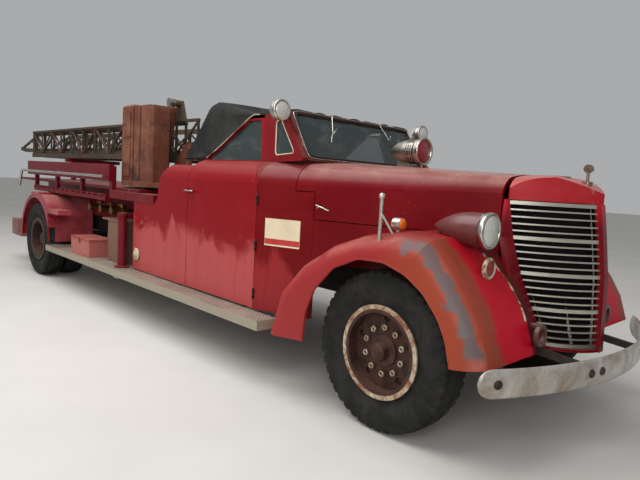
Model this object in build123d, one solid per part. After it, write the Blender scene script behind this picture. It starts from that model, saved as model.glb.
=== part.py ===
from build123d import *
import math
import os

os.makedirs("parts", exist_ok=True)

# Fire engine with a turntable ladder, full size, in millimetres.
# X points forward from the front axle, Y to the driver's left and Z up from the ground.
# Every piece is modelled from the front axle and moved by ORIGIN_X when it is written,
# so that the origin of the files is the middle of the overall length on the ground.

# Wheels and axles
WHEELBASE = 6000
TYRE_R = 490
TYRE_W = 240
RIM_R = 285
RIM_LIP = 12
RIM_WELL_R = 236
FRONT_TYRE_Y = 890
REAR_OUTER_Y = 975
REAR_INNER_Y = 695
HUB_R = 95
NUT_COUNT = 10
NUT_PITCH_R = 143
NUT_R = 17
HAND_HOLES = 5
FRONT_DISC_Y = 925
REAR_DISC_Y = 860
KING_PIN_Y = 700
KING_PIN_R = 22
KING_PIN_GAP = 0.05
SPINDLE_R = 38
BEAM_Z = 385
BRAKE_R = 215
AXLE_TUBE_R = 62
DIFF_R = 190

# Chassis
RAIL_Y = 420
RAIL_WALL = 9
RAIL_FLANGE = 76
RAIL_TOP = 860
RAIL_DEPTH = 220
RAIL_FRONT_X = 540
RAIL_REAR_X = -WHEELBASE - 1400
SPRING_W = 76
SPRING_LEAF = 12
SPRING_LEAVES = 5
ENGINE_SIZE = (950, 520, 620)
ENGINE_X = -180
ENGINE_Z = 880

# Bumper: a bar bowed in plan
BUMPER_END_X = 742
BUMPER_NOSE_X = 1035
BUMPER_HALF = 1125
BUMPER_Z = 545
BUMPER_H = 150
BUMPER_T = 22

# Cab section: half widths and heights of the side wall
BODY_HALF = 950
SILL_Z = 480
SHOULDER_Z = 1440
BELT_HALF = 800
BELT_Z = 1610
HEADER_HALF = 730
HEADER_Z = 1990
WALL = 45
GAP = 6

# Cab lengths
FIREWALL_X = -880
DOOR_FRONT_X = -1303
DOOR_REAR_X = -2310
DOOR_POST_BELT_X = -1425
DOOR_POST_TOP_X = -1545
QUARTER_REAR_X = -3370
QUARTER_LEDGE_Z = 1170
QUARTER_STEP_X = -2640
QUARTER_FOOT_X = -2880
CAB_FLOOR_Z = 890
FLOOR_T = 30

# Windscreen: one flat pane
PANE_LOW_X = -1030
PANE_LOW_Z = 1655
PANE_TOP_X = -1235
PANE_TOP_Z = 1985
PANE_HALF = 690
FRAME_W = 34
GLASS_T = 6

# Canvas top outline, from the header over the peak to the rear edge of the cab
CANVAS_PEAK = (-2250, 2150)
CANVAS_BACK = (-2430, 2100)
CANVAS_HEM = (-2650, 1622)
CANVAS_FRONT_LOW = (-2285, 1622)
CANVAS_FRONT_TOP = (-1700, 2000)
CANVAS_T = 12

# Hood and nose
HOOD_LOW_Z = 1210
HOOD_FRONT_HALF = 402
HOOD_FRONT_X = 425
HOOD_SHOULDER_Z = 1475
HOOD_TOP_Z = 1600
HOOD_SHEET = 22
HINGE_STRIP = 26

# Front fender, on its wheel's centre
ARCH_R = 560
FENDER_OUT_Y = 1098
FENDER_SKIN = 14

# Running board
BOARD_OUT_Y = 1135
BOARD_IN_Y = 955
BOARD_TOP = 470
BOARD_T = 70
BOARD_FRONT_X = -950
BOARD_REAR_X = -WHEELBASE + 500

# Rear body
BED_TOP = 1540
BED_LOW = 1350
BED_FRONT_X = -4000
BED_REAR_X = -WHEELBASE - 900
BED_SIDE_Y = 950
PANEL_T = 30
DECK_Z = 1290
REAR_FENDER_R = 590
REAR_FENDER_OUT_Y = 1120
REAR_FENDER_IN_Y = 540
TAIL_X = RAIL_REAR_X - 100
TAIL_DEPTH = 480
TAIL_HALF = 1000

# Turntable and ladder
TURN_X = -3650
HEEL_X = -3290
HEEL_Z = 1740
HEEL_PIN_R = 30
LADDER_TIP_X = -WHEELBASE - 3760
CHORD_LOW_Z = 1670
LATTICE = 24
HOIST_FOOT = (-3700, 1420)
HOIST_R = 78
ROD_R = 38

OVERALL_FRONT = BUMPER_NOSE_X + BUMPER_T
OVERALL_REAR = LADDER_TIP_X
ORIGIN_X = (OVERALL_FRONT + OVERALL_REAR) / 2


def block(x0, x1, y0, y1, z0, z1):
    """A rectangular block between two corners."""
    size = Box(abs(x1 - x0), abs(y1 - y0), abs(z1 - z0))
    return Pos((x0 + x1) / 2, (y0 + y1) / 2, (z0 + z1) / 2) * size


def rod(start, end, radius):
    """A round bar between two points."""
    start, end = Vector(*start), Vector(*end)
    span = end - start
    return Solid.make_cylinder(radius, span.length, Plane(origin=start, z_dir=span))


def bar(start, end, width, height):
    """A square-edged bar between two points, width across Y where it can be."""
    start, end = Vector(*start), Vector(*end)
    span = end - start
    side = Vector(0, 1, 0) if abs(span.normalized().Y) < 0.9 else Vector(1, 0, 0)
    place = Plane(origin=start, x_dir=side.cross(span), z_dir=span)
    return extrude(place * Rectangle(height, width), span.length)


def side_prism(points, y0, y1):
    """An outline of (x, z) points carried across the vehicle from y0 to y1."""
    face = make_face(Polyline(*[(x, 0, z) for x, z in points], close=True))
    return Pos(0, y0, 0) * extrude(face, y1 - y0, dir=(0, 1, 0))


def plan_prism(points, z0, z1):
    """An outline of (x, y) points carried up from z0 to z1."""
    face = make_face(Polyline(*[(x, y, 0) for x, y in points], close=True))
    return Pos(0, 0, z0) * extrude(face, z1 - z0, dir=(0, 0, 1))


def cross_prism(points, x0, x1):
    """An outline of (y, z) points carried along the vehicle from x0 to x1."""
    face = make_face(Polyline(*[(0, y, z) for y, z in points], close=True))
    return Pos(x0, 0, 0) * extrude(face, x1 - x0, dir=(1, 0, 0))


def turned(profile, x, z):
    """A ring of (y, radius) points turned about an axis along Y through x and z."""
    face = make_face(Polyline(*[(0, y, r) for y, r in profile], close=True))
    return Pos(x, 0, z) * revolve(face, Axis.Y)


def flipped(shape):
    """The same piece on the other side of the vehicle."""
    return mirror(shape, about=Plane.XZ)


def fused(shapes):
    """One shape out of many."""
    shapes = list(shapes)
    return shapes[0].fuse(*shapes[1:]) if len(shapes) > 1 else shapes[0]


def both_sides(shape):
    """A piece and its mirror image."""
    return [shape, flipped(shape)]


def write(name, shapes):
    """One STEP file with a node's solids, moved to the files' origin."""
    solids = []
    for shape in shapes if isinstance(shapes, list) else [shapes]:
        solids += shape.solids()
    placed = [Pos(-ORIGIN_X, 0, 0) * s for s in solids]
    whole = placed[0] if len(placed) == 1 else Compound(children=placed)
    export_step(whole, f"parts/{name}.step")


# Wheels. A profile is a list of (distance out from the centre line, radius).
def rim_barrel(centre):
    """The tyre side of a rim: two lips and the bead seat between them."""
    half, seat = RIM_HALF_W, RIM_R - 30
    return [
        (centre + half, RIM_R),
        (centre + half - RIM_LIP, RIM_R),
        (centre + half - RIM_LIP, seat),
        (centre - half + RIM_LIP, seat),
        (centre - half + RIM_LIP, RIM_R),
        (centre - half, RIM_R),
    ]


def right_hand(profile):
    """The same profile on the right side of the vehicle, where Y is negative."""
    return [(-out, r) for out, r in profile]


def round_pattern(piece, count, x, z):
    """Copies of a piece about a wheel's axis."""
    place = Pos(x, 0, z)
    return [place * Rot(0, i * 360 / count, 0) * piece for i in range(count)]


def tyre(centre, x):
    """A solid ring with round shoulders, out to the tips of its tread."""
    seat, lip = RIM_R - 30, RIM_HALF_W - RIM_LIP
    half = TYRE_W / 2
    shape = [
        (lip, seat),
        (lip, RIM_R + 2),
        (half - 6, RIM_R + 35),
        (half, RIM_R + 85),
        (half - 4, TYRE_R - 62),
        (half - 14, TYRE_R - 24),
        (half - 30, TYRE_R - 6),
        (half - 52, TYRE_R),
    ]
    ring = [(centre + o, r) for o, r in shape] + [(centre - o, r) for o, r in reversed(shape)]
    return turned(right_hand(ring), x, TYRE_R)


RIM_HALF_W = TYRE_W / 2 - 16


def front_wheel():
    """Rim, disc, hub and brake drum of a right front wheel, bored for its spindle."""
    c, face = FRONT_TYRE_Y, FRONT_DISC_Y
    well, bore = RIM_WELL_R, SPINDLE_R + KING_PIN_GAP
    inside = [
        (c - RIM_HALF_W, well),
        (face - 14, well),
        (face - 14, BRAKE_R),
        (face - 125, BRAKE_R),
        (face - 125, BRAKE_R - 14),
        (face - 34, BRAKE_R - 14),
        (face - 34, HUB_R - 20),
        (face - 140, HUB_R - 20),
        (face - 140, bore),
        (face + 50, bore),
        (face + 50, 0),
    ]
    outside = [
        (face + 84, 0),
        (face + 84, 34),
        (face + 74, 52),
        (face + 28, 58),
        (face + 20, HUB_R),
        (face, HUB_R),
        (face, well),
        (c + RIM_HALF_W, well),
    ]
    body = turned(right_hand(rim_barrel(c) + inside + outside), 0, TYRE_R)
    nut = Pos(0, -face + 1, NUT_PITCH_R) * extrude(
        Plane.XZ * RegularPolygon(NUT_R, 6), 21
    )
    hole = rod((0, -face - 5, HAND_HOLE_AT), (0, -face + 19, HAND_HOLE_AT), HAND_HOLE_R)
    body = body.fuse(*round_pattern(nut, NUT_COUNT, 0, TYRE_R))
    return body.cut(*round_pattern(hole, HAND_HOLES, 0, TYRE_R))


HAND_HOLE_AT = 198
HAND_HOLE_R = 24


def rear_wheel():
    """The twin rims of a right rear wheel with their deep discs, hub and drum."""
    outer, inner, face = REAR_OUTER_Y, REAR_INNER_Y, REAR_DISC_Y
    well, bore = RIM_WELL_R, AXLE_TUBE_R + KING_PIN_GAP
    between = [(outer - RIM_HALF_W, well + 8), (inner + RIM_HALF_W, well + 8)]
    inside = [
        (inner - RIM_HALF_W, well),
        (inner + RIM_HALF_W - 30, well),
        (face - 30, well - 10),
        (face - 30, BRAKE_R),
        (face - 190, BRAKE_R),
        (face - 190, BRAKE_R - 14),
        (face - 44, BRAKE_R - 14),
        (face - 44, AXLE_TUBE_R + 22),
        (face - 230, AXLE_TUBE_R + 22),
        (face - 230, bore),
        (REAR_HUB_END - 30, bore),
        (REAR_HUB_END - 30, 0),
    ]
    outside = [
        (REAR_HUB_END, 0),
        (REAR_HUB_END, 66),
        (REAR_HUB_END - 14, 84),
        (face + 60, 88),
        (face + 24, 112),
        (face, 118),
        (face, well),
        (outer + RIM_HALF_W, well),
    ]
    ring = rim_barrel(outer) + between + rim_barrel(inner) + inside + outside
    x = -WHEELBASE
    body = turned(right_hand(ring), x, TYRE_R)
    nut = Pos(0, -face + 1, NUT_PITCH_R + 8) * extrude(
        Plane.XZ * RegularPolygon(NUT_R, 6), 25
    )
    hole = rod((0, -face - 5, HAND_HOLE_AT + 3), (0, -face + 29, HAND_HOLE_AT + 3), HAND_HOLE_R)
    body = body.fuse(*round_pattern(nut, NUT_COUNT, x, TYRE_R))
    return body.cut(*round_pattern(hole, HAND_HOLES, x, TYRE_R))


REAR_HUB_END = 1030

for side, put in (("right", lambda s: s), ("left", flipped)):
    write(f"front_rim_{side}", put(front_wheel()))
    write(f"front_tyre_{side}", put(tyre(FRONT_TYRE_Y, 0)))
    write(f"rear_rims_{side}", put(rear_wheel()))
    twin = [tyre(REAR_OUTER_Y, -WHEELBASE), tyre(REAR_INNER_Y, -WHEELBASE)]
    write(f"rear_tyres_{side}", [put(t) for t in twin])

# Steering: a king pin fixed in the beam's eye, and a yoke that turns round it
EYE_R = 44
EYE_H = 110
YOKE_GAP = 6
YOKE_EAR = 34
YOKE_R = 46
STEER_ARM = 165
TIE_ROD_R = 15


def knuckle():
    """Yoke, spindle and steering arm of the right front wheel."""
    y, half = -KING_PIN_Y, EYE_H / 2 + YOKE_GAP
    bore = KING_PIN_R + KING_PIN_GAP
    upright = block(-42, 42, y - EYE_R - YOKE_GAP - 30, y - EYE_R - YOKE_GAP,
                    TYRE_R - half - YOKE_EAR, TYRE_R + half + YOKE_EAR)
    pieces = [upright, rod((0, y - EYE_R - YOKE_GAP - 4, TYRE_R),
                           (0, -FRONT_DISC_Y - 44, TYRE_R), SPINDLE_R)]
    for low in (TYRE_R + half, TYRE_R - half - YOKE_EAR):
        pieces.append(block(-38, 38, y - EYE_R - YOKE_GAP - 2, y, low, low + YOKE_EAR))
        pieces.append(Pos(0, y, low + YOKE_EAR / 2) * Cylinder(YOKE_R, YOKE_EAR))
    low = TYRE_R - half - YOKE_EAR
    arm = bar((-20, y, low + YOKE_EAR / 2), (-STEER_ARM, y + 22, low + YOKE_EAR / 2), 34, 26)
    end = Pos(-STEER_ARM, y + 22, low + YOKE_EAR / 2) * Cylinder(24, 26)
    bore = Pos(0, y, TYRE_R) * Cylinder(bore, 4 * EYE_H)
    return fused(pieces + [arm, end]) - bore


def front_axle():
    """A dropped forged beam with its eyes, king pins and spring seats."""
    eyes = []
    for y in (-KING_PIN_Y, KING_PIN_Y):
        eyes.append(Pos(0, y, TYRE_R) * Cylinder(EYE_R, EYE_H))
        eyes.append(Pos(0, y, TYRE_R) * Cylinder(KING_PIN_R, EYE_H + 2 * (YOKE_GAP + YOKE_EAR)))
    seat, web = RAIL_Y, 46
    outline = [
        (-KING_PIN_Y + 20, TYRE_R + 34), (-seat - 60, BEAM_Z + 34), (seat + 60, BEAM_Z + 34),
        (KING_PIN_Y - 20, TYRE_R + 34), (KING_PIN_Y - 20, TYRE_R - 34),
        (seat + 30, BEAM_Z - 46), (-seat - 30, BEAM_Z - 46), (-KING_PIN_Y + 20, TYRE_R - 34),
    ]
    beam = cross_prism(outline, -web / 2, web / 2)
    for side in (-1, 1):
        slot = cross_prism(
            [(-seat + 60, BEAM_Z + 18), (seat - 60, BEAM_Z + 18),
             (seat - 60, BEAM_Z - 28), (-seat + 60, BEAM_Z - 28)],
            side * web / 2 - 13, side * web / 2 + 13)
        beam -= slot
    seats = [block(-58, 58, s * seat - 42, s * seat + 42, BEAM_Z + 30, BEAM_Z + 46)
             for s in (-1, 1)]
    return fused([beam] + seats + eyes)


def leaf_spring(x, y, axle_top, half_length, eye_z):
    """A bowed stack of leaves, each shorter than the one above it."""
    stack = []
    for i in range(SPRING_LEAVES):
        share = 1 - i / (SPRING_LEAVES + 1)
        reach = half_length * share
        rise = (eye_z - axle_top) * share * share
        top = axle_top + SPRING_LEAF * (SPRING_LEAVES - i)
        path = ThreePointArc((-reach, top + rise), (0, top), (reach, top + rise))
        low = ThreePointArc((reach, top + rise - SPRING_LEAF), (0, top - SPRING_LEAF),
                            (-reach, top + rise - SPRING_LEAF))
        edge_a = Line((reach, top + rise), (reach, top + rise - SPRING_LEAF))
        edge_b = Line((-reach, top + rise - SPRING_LEAF), (-reach, top + rise))
        face = make_face([path, edge_a, low, edge_b])
        stack.append(Pos(x, y + SPRING_W / 2, 0) * extrude(Plane.XZ * face, SPRING_W))
    return fused(stack)


def rail_section(side):
    """Outline of one channel rail, open towards the middle of the vehicle."""
    o, i = side * (RAIL_Y + RAIL_FLANGE / 2), side * (RAIL_Y - RAIL_FLANGE / 2)
    w, top, low = side * RAIL_WALL, RAIL_TOP, RAIL_TOP - RAIL_DEPTH
    return [(o, top), (i, top), (i, top - RAIL_WALL), (o - w, top - RAIL_WALL),
            (o - w, low + RAIL_WALL), (i, low + RAIL_WALL), (i, low), (o, low)]


CROSS_XS = (470, -1150, -2250, -3300, -4250, -WHEELBASE + 850, -WHEELBASE - 720, RAIL_REAR_X + 60)
CROSS_TUBE_R = 55
FRONT_SPRING = 500
REAR_SPRING = 700
PROP_R = 48
GEARBOX = (-900, 150, 560, 740)
IRON_W = 26
IRON_Y = 365
BUMPER_EDGE_R = 8


def bumper():
    """A bar bowed in plan, rolled over at its edges, on two flat irons."""
    bow = BUMPER_NOSE_X + BUMPER_T - BUMPER_END_X
    radius = (BUMPER_HALF ** 2 + bow ** 2) / (2 * bow)
    reach = math.degrees(math.asin(BUMPER_HALF / radius))
    edge = Plane.XZ * Pos(radius - BUMPER_T / 2, 0) * RectangleRounded(BUMPER_T, BUMPER_H, BUMPER_EDGE_R)
    blade = Rot(0, 0, -reach) * revolve(edge, Axis.Z, 2 * reach)
    blade = Pos(BUMPER_NOSE_X + BUMPER_T - radius, 0, BUMPER_Z) * blade
    low, tip = RAIL_TOP - RAIL_DEPTH, BUMPER_NOSE_X - 24
    iron = side_prism([(60, low - 44), (60, low), (230, low), (tip, BUMPER_Z + 22), (tip, BUMPER_Z - 22),
                       (200, low - 44)], -IRON_Y - IRON_W / 2, -IRON_Y + IRON_W / 2)
    clamp = block(60, 200, -RAIL_Y - 18, -IRON_Y, low - 26, low)
    irons = [iron, clamp, flipped(iron), flipped(clamp)]
    return fused([blade] + irons)


def chassis():
    """Rails, cross members, springs, axles, engine and drive line."""
    rails = [cross_prism(rail_section(s), RAIL_REAR_X, RAIL_FRONT_X) for s in (-1, 1)]
    reach = RAIL_Y + RAIL_FLANGE / 2 - RAIL_WALL
    low, mid = RAIL_TOP - RAIL_DEPTH, RAIL_TOP - RAIL_DEPTH / 2
    crosses = [rod((x, -reach, mid), (x, reach, mid), CROSS_TUBE_R) for x in CROSS_XS]
    write("frame", fused(rails + crosses))
    write("front_axle", front_axle())
    stack = SPRING_LEAF * SPRING_LEAVES
    front = leaf_spring(0, RAIL_Y, BEAM_Z + 46, FRONT_SPRING, low - 60 - stack)
    rear_seat = TYRE_R + AXLE_TUBE_R
    rear = leaf_spring(-WHEELBASE, RAIL_Y, rear_seat, REAR_SPRING, low - 2 - stack)
    write("leaf_springs", both_sides(front) + both_sides(rear))
    tube = rod((-WHEELBASE, -REAR_HUB_END + 35, TYRE_R),
               (-WHEELBASE, REAR_HUB_END - 35, TYRE_R), AXLE_TUBE_R)
    ball = Pos(-WHEELBASE, 0, TYRE_R) * Sphere(DIFF_R)
    prop = rod((GEARBOX[0] - 8, 0, 630), (-WHEELBASE + DIFF_R - 20, 0, TYRE_R + 10), PROP_R)
    write("rear_axle", fused([tube, ball, prop]))
    length, width, height = ENGINE_SIZE
    engine = Pos(ENGINE_X, 0, ENGINE_Z) * Box(length, width, height)
    box = block(GEARBOX[0], ENGINE_X - length / 2 + 1, -GEARBOX[1], GEARBOX[1],
                GEARBOX[2], GEARBOX[3])
    write("engine_block", engine + box)
    rod_z = TYRE_R - EYE_H / 2 - YOKE_GAP - YOKE_EAR / 2 - 13 - GAP - TIE_ROD_R
    reach = KING_PIN_Y - 22
    write("tie_rod", rod((-STEER_ARM, -reach, rod_z), (-STEER_ARM, reach, rod_z), TIE_ROD_R))
    for side, put in (("right", lambda s: s), ("left", flipped)):
        write(f"knuckle_{side}", put(knuckle()))


chassis()
bumper_body = bumper()
write("front_bumper", bumper_body)

# Front body: one tapering shell from the doors to the nose, cut into cowl and hood
SHELL_REAR_X = -1300
CROWN_REAR_Z = 1655
HOOD_REAR_X = -983
HOOD_SWING = 40
PANEL_FRONT_X = -830
PANEL_TOP_Z = 1400
DASH_X = -1330
VALANCE_LOW_Z = 905
NOSE_REAR_X = HOOD_FRONT_X - 24


def half_width(x):
    """Half width of the body side between the doors and the nose."""
    share = (x - SHELL_REAR_X) / (HOOD_FRONT_X - SHELL_REAR_X)
    return BODY_HALF + (HOOD_FRONT_HALF - BODY_HALF) * share


def shell_section(x, half, low, shoulder, edge, edge_z, crown):
    """A closed section: two upright sides, two round shoulders and a crowned top."""
    bend = 0.32 * (half - edge)
    right_low, right_up = (x, -half, low), (x, -half, shoulder)
    right_mid = (x, -half + bend, edge_z - 0.36 * (edge_z - shoulder))
    left_mid = (x, half - bend, right_mid[2])
    edges = [
        Line(right_low, right_up),
        ThreePointArc(right_up, right_mid, (x, -edge, edge_z)),
        ThreePointArc((x, -edge, edge_z), (x, 0, crown), (x, edge, edge_z)),
        ThreePointArc((x, edge, edge_z), left_mid, (x, half, shoulder)),
        Line((x, half, shoulder), (x, half, low)),
        Line((x, half, low), right_low),
    ]
    return make_face(edges)


def front_shell():
    """The tapering shell, with its walls."""
    def whole(rear_wall, front_wall, low):
        rear = shell_section(SHELL_REAR_X, BODY_HALF - rear_wall, low, SHOULDER_Z,
                             BELT_HALF - rear_wall, BELT_Z - rear_wall, CROWN_REAR_Z - rear_wall)
        front = shell_section(HOOD_FRONT_X, HOOD_FRONT_HALF - front_wall, low, HOOD_SHOULDER_Z,
                              HOOD_FRONT_HALF - 110 - front_wall, HOOD_TOP_Z - 22 - front_wall,
                              HOOD_TOP_Z - front_wall)
        return loft([rear, front], ruled=True)
    return whole(0, 0, SILL_Z) - whole(WALL, HOOD_SHEET, SILL_Z - 100)


def cowl_and_hood():
    """Cowl with its hinge strip, and the two hood halves that lift from the strip."""
    shell = front_shell()
    outline = [(SHELL_REAR_X, SILL_Z), (PANEL_FRONT_X, SILL_Z), (PANEL_FRONT_X, PANEL_TOP_Z),
               (HOOD_REAR_X, PANEL_TOP_Z), (HOOD_REAR_X, 1800), (SHELL_REAR_X, 1800)]
    cowl = shell & side_prism(outline, -1200, 1200)
    strip = shell & block(HOOD_REAR_X - 30, NOSE_REAR_X, -HINGE_STRIP / 2, HINGE_STRIP / 2,
                          SHOULDER_Z, CROWN_REAR_Z + 100)
    return shell, fused([cowl, strip])


def hood_half(shell):
    """The right half of the hood: side and top in one piece."""
    x0, x1 = HOOD_REAR_X + GAP, NOSE_REAR_X - GAP
    outline = [(x0, PANEL_TOP_Z + GAP), (PANEL_FRONT_X + GAP, PANEL_TOP_Z + GAP),
               (PANEL_FRONT_X + GAP, HOOD_LOW_Z), (x1, HOOD_LOW_Z), (x1, 1800), (x0, 1800)]
    return shell & side_prism(outline, -1200, -HINGE_STRIP / 2 - GAP)


def valance():
    """The fixed panel below the right hood half, down to the fender."""
    x0, x1 = PANEL_FRONT_X - 5, NOSE_REAR_X - 1
    top, low = HOOD_LOW_Z - GAP, VALANCE_LOW_Z
    skin = 16
    plan = [(x0, -half_width(x0) + 2), (x1, -half_width(x1) + 2),
            (x1, -half_width(x1) + 2 + skin), (x0, -half_width(x0) + 2 + skin)]
    return plan_prism(plan, low, top)


# Nose: height, grille edge x and y, fender seam x and y, centre line x
NOSE_ROWS = (
    (560, 690, 250, 700, 520, 900),
    (800, 600, 310, 615, 470, 893),
    (1000, 530, 350, 525, 505, 885),
    (1215, 470, 372, 430, 430, 856),
    (1440, 432, 384, 426, 401, 822),
)
GRILLE_BULGE = 42
GRILLE_DEPTH = 26
BAR_THICK = 22
BAR_THIN = 9
BAR_GROUPS = 4
BARS_BETWEEN = 4
STRIP_HALF = 30


def nose_at(z):
    """Grille edge and centre line at a height, between the rows of the table."""
    for a, b in zip(NOSE_ROWS, NOSE_ROWS[1:]):
        if z <= b[0] or b is NOSE_ROWS[-1]:
            t = (z - a[0]) / (b[0] - a[0])
            return [a[i] + (b[i] - a[i]) * t for i in range(6)]


def nose_arc(z, inset):
    """The right half of the nose's plan curve at a height, from its edge to the middle."""
    _, ex, ey, _, _, cx = nose_at(z)
    run = Vector(cx - ex, ey, 0)
    across = Vector(ey, -(cx - ex), 0).normalized()
    start = Vector(ex, -ey, 0) - across * inset
    end = Vector(cx - inset * 1.25, 0, 0)
    mid = Vector(ex, -ey, 0) + run * 0.5 + across * (GRILLE_BULGE - inset)
    return ThreePointArc(start, mid, end), start, end


def grille_bar(z, height):
    """One bar across both halves of the grille."""
    outer, a, b = nose_arc(z, 2)
    inner, c, d = nose_arc(z, 2 + GRILLE_DEPTH)
    half = make_face([outer, inner, Line(a, c), Line(b, d)])
    solid = Pos(0, 0, z - height / 2) * extrude(half, height)
    return solid.fuse(flipped(solid))


def grille():
    """Five wide bars with thin ones between them, on a post at each edge."""
    bars = BAR_GROUPS * (BARS_BETWEEN + 1)
    low, top = NOSE_ROWS[0][0] + 34, NOSE_ROWS[-1][0] - 16
    pieces = []
    for i in range(bars + 1):
        z = low + (top - low) * i / bars
        pieces.append(grille_bar(z, BAR_THIN if i % (BARS_BETWEEN + 1) else BAR_THICK))
    posts = []
    for share in (0.08, 0.5, 0.92):
        for a, b in zip(NOSE_ROWS, NOSE_ROWS[1:]):
            ends = []
            for row in (a, b):
                z = min(max(row[0], low), top)
                arc, _, _ = nose_arc(z, 2 + GRILLE_DEPTH)
                p = arc @ share
                ends.append((p.X - 4, p.Y, z))
            posts += both_sides(bar(ends[0], ends[1], 10, 14))
    return fused(pieces + posts)


def nose():
    """Crown, centre strip, lower sill and the panels between grille and fenders."""
    sections = []
    for z, ex, ey, fx, fy, _ in NOSE_ROWS:
        t = 22
        quad = Polyline((ex, -ey - 2, z), (fx, -fy, z), (fx - t, -fy, z), (ex - t, -ey - 2, z),
                        close=True)
        sections.append(make_face(quad))
    walk = loft(sections, ruled=True)
    top, low = NOSE_ROWS[-1][0], NOSE_ROWS[0][0]
    arc, a, b = nose_arc(top, -6)
    rear = NOSE_REAR_X
    full = make_face([arc, Line(b, (rear, 0, 0)), Line((rear, 0, 0), (rear, a.Y, 0)),
                      Line((rear, a.Y, 0), a)])
    plan = Pos(0, 0, top) * extrude(full, 240)
    plan = plan.fuse(flipped(plan))
    side = make_face([
        Line((HOOD_FRONT_X, 0, top), (900, 0, top)),
        Line((900, 0, top), (900, 0, top + 8)),
        ThreePointArc((900, 0, top + 8), (720, 0, HOOD_TOP_Z - 42), (HOOD_FRONT_X, 0, HOOD_TOP_Z + 2)),
        Line((HOOD_FRONT_X, 0, HOOD_TOP_Z + 2), (HOOD_FRONT_X, 0, top)),
    ])
    side = Pos(0, -600, 0) * extrude(side, 1200, dir=(0, 1, 0))
    cross = extrude(shell_section(HOOD_FRONT_X, HOOD_FRONT_HALF, top - 10, HOOD_SHOULDER_Z,
                                  HOOD_FRONT_HALF - 110, HOOD_TOP_Z - 22, HOOD_TOP_Z + 2),
                    600, dir=(1, 0, 0))
    crown = plan & side & cross
    strips = []
    for a_row, b_row in zip(NOSE_ROWS, NOSE_ROWS[1:]):
        pts = [(a_row[5] + 6, a_row[0]), (b_row[5] + 6, b_row[0]),
               (b_row[5] - 34, b_row[0]), (a_row[5] - 34, a_row[0])]
        strips.append(side_prism(pts, -STRIP_HALF, STRIP_HALF))
    outer, p, q = nose_arc(low, -2)
    inner, r, s = nose_arc(low, 40)
    sill = Pos(0, 0, low) * extrude(make_face([outer, inner, Line(p, r), Line(q, s)]), 18)
    return fused([crown, walk, flipped(walk), sill, flipped(sill)] + strips)


# Front fender: angle round the wheel from the rear, radius of the crest, inner half width
FENDER_ROWS = (
    (-6, 985, 935), (14, 908, 850), (33, 800, 770), (56, 722, 672), (78, 704, 590),
    (98, 742, 500), (115, 790, 470), (130, 742, 440), (146, 728, 455), (158, 735, 470),
    (172, 745, 500),
)
FENDER_ROLL = 150


def fender_section(angle, crest, inner, skin, low):
    """A section in a plane through the wheel's axle: flat top, rolled edge, upright skirt."""
    a = math.radians(angle)
    out, top = FENDER_OUT_Y - skin, crest - skin
    roll = min(FENDER_ROLL, crest - ARCH_R - 6) - skin * 0.5

    def at(y, r):
        return (-r * math.cos(a), -y, TYRE_R + r * math.sin(a))

    corner = math.sqrt(0.5)
    edges = [
        Line(at(inner, low), at(inner, top)),
        Line(at(inner, top), at(out - roll, top)),
        ThreePointArc(at(out - roll, top), at(out - roll + roll * corner, top - roll + roll * corner),
                      at(out, top - roll)),
        Line(at(out, top - roll), at(out, low)),
        Line(at(out, low), at(inner, low)),
    ]
    return make_face(edges)


def front_fender():
    """The right front fender: a rolled shell over the wheel with a long flat tail."""
    outer = loft([fender_section(a, r, y, 0, ARCH_R) for a, r, y in FENDER_ROWS], ruled=True)
    rows = [(a, r, y) for a, r, y in FENDER_ROWS]
    inner = loft([fender_section(a, r, y - 60, FENDER_SKIN, ARCH_R - 60) for a, r, y in rows],
                 ruled=True)
    return outer - inner


shell, cowl_shell = cowl_and_hood()
nose_body = nose() - bumper_body
for side, put in (("right", lambda s: s), ("left", flipped)):
    write(f"hood_{side}", put(hood_half(shell)))
write("nose_shell", nose_body)
write("grille_bars", grille() - nose_body)
valance_right = valance()
hood_room = plan_prism([(PANEL_FRONT_X, -half_width(PANEL_FRONT_X) - GAP),
                        (HOOD_FRONT_X, -half_width(HOOD_FRONT_X) - GAP),
                        (HOOD_FRONT_X, 0), (PANEL_FRONT_X, 0)],
                       HOOD_LOW_Z - GAP, HOOD_TOP_Z)
fender_right = front_fender() - nose_body - hood_room - valance_right
write("front_fenders", both_sides(fender_right))

# Cab: a constant side wall, cut into doors and quarter panels
POST_W = 45
SASH = 18
VENT = ((-1311, 1660), (-1088, 1678), (-1322, 1940), (-1374, 1925))
VENT_R = 22
PILLAR_FRONT = ((-968, 1625), (-1292, 1990))
HEADER_T = 28
SHELF_Z = 1560
BACK_WALL_X = -2690
SEAT_FRONT_X = -1790
SEAT_REAR_X = -2290
SEAT_HALF = 700
SEAT_BASE_Z = 1120
CUSHION_T = 150
WHEEL_AT = (-1640, 400, 1440)
COLUMN_FOOT = (-1010, 400, 1010)
WHEEL_R = 225
WHEEL_TUBE = 14
DOOR_LOW_Z = SILL_Z + 4
BELT_GAP = 8


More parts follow.
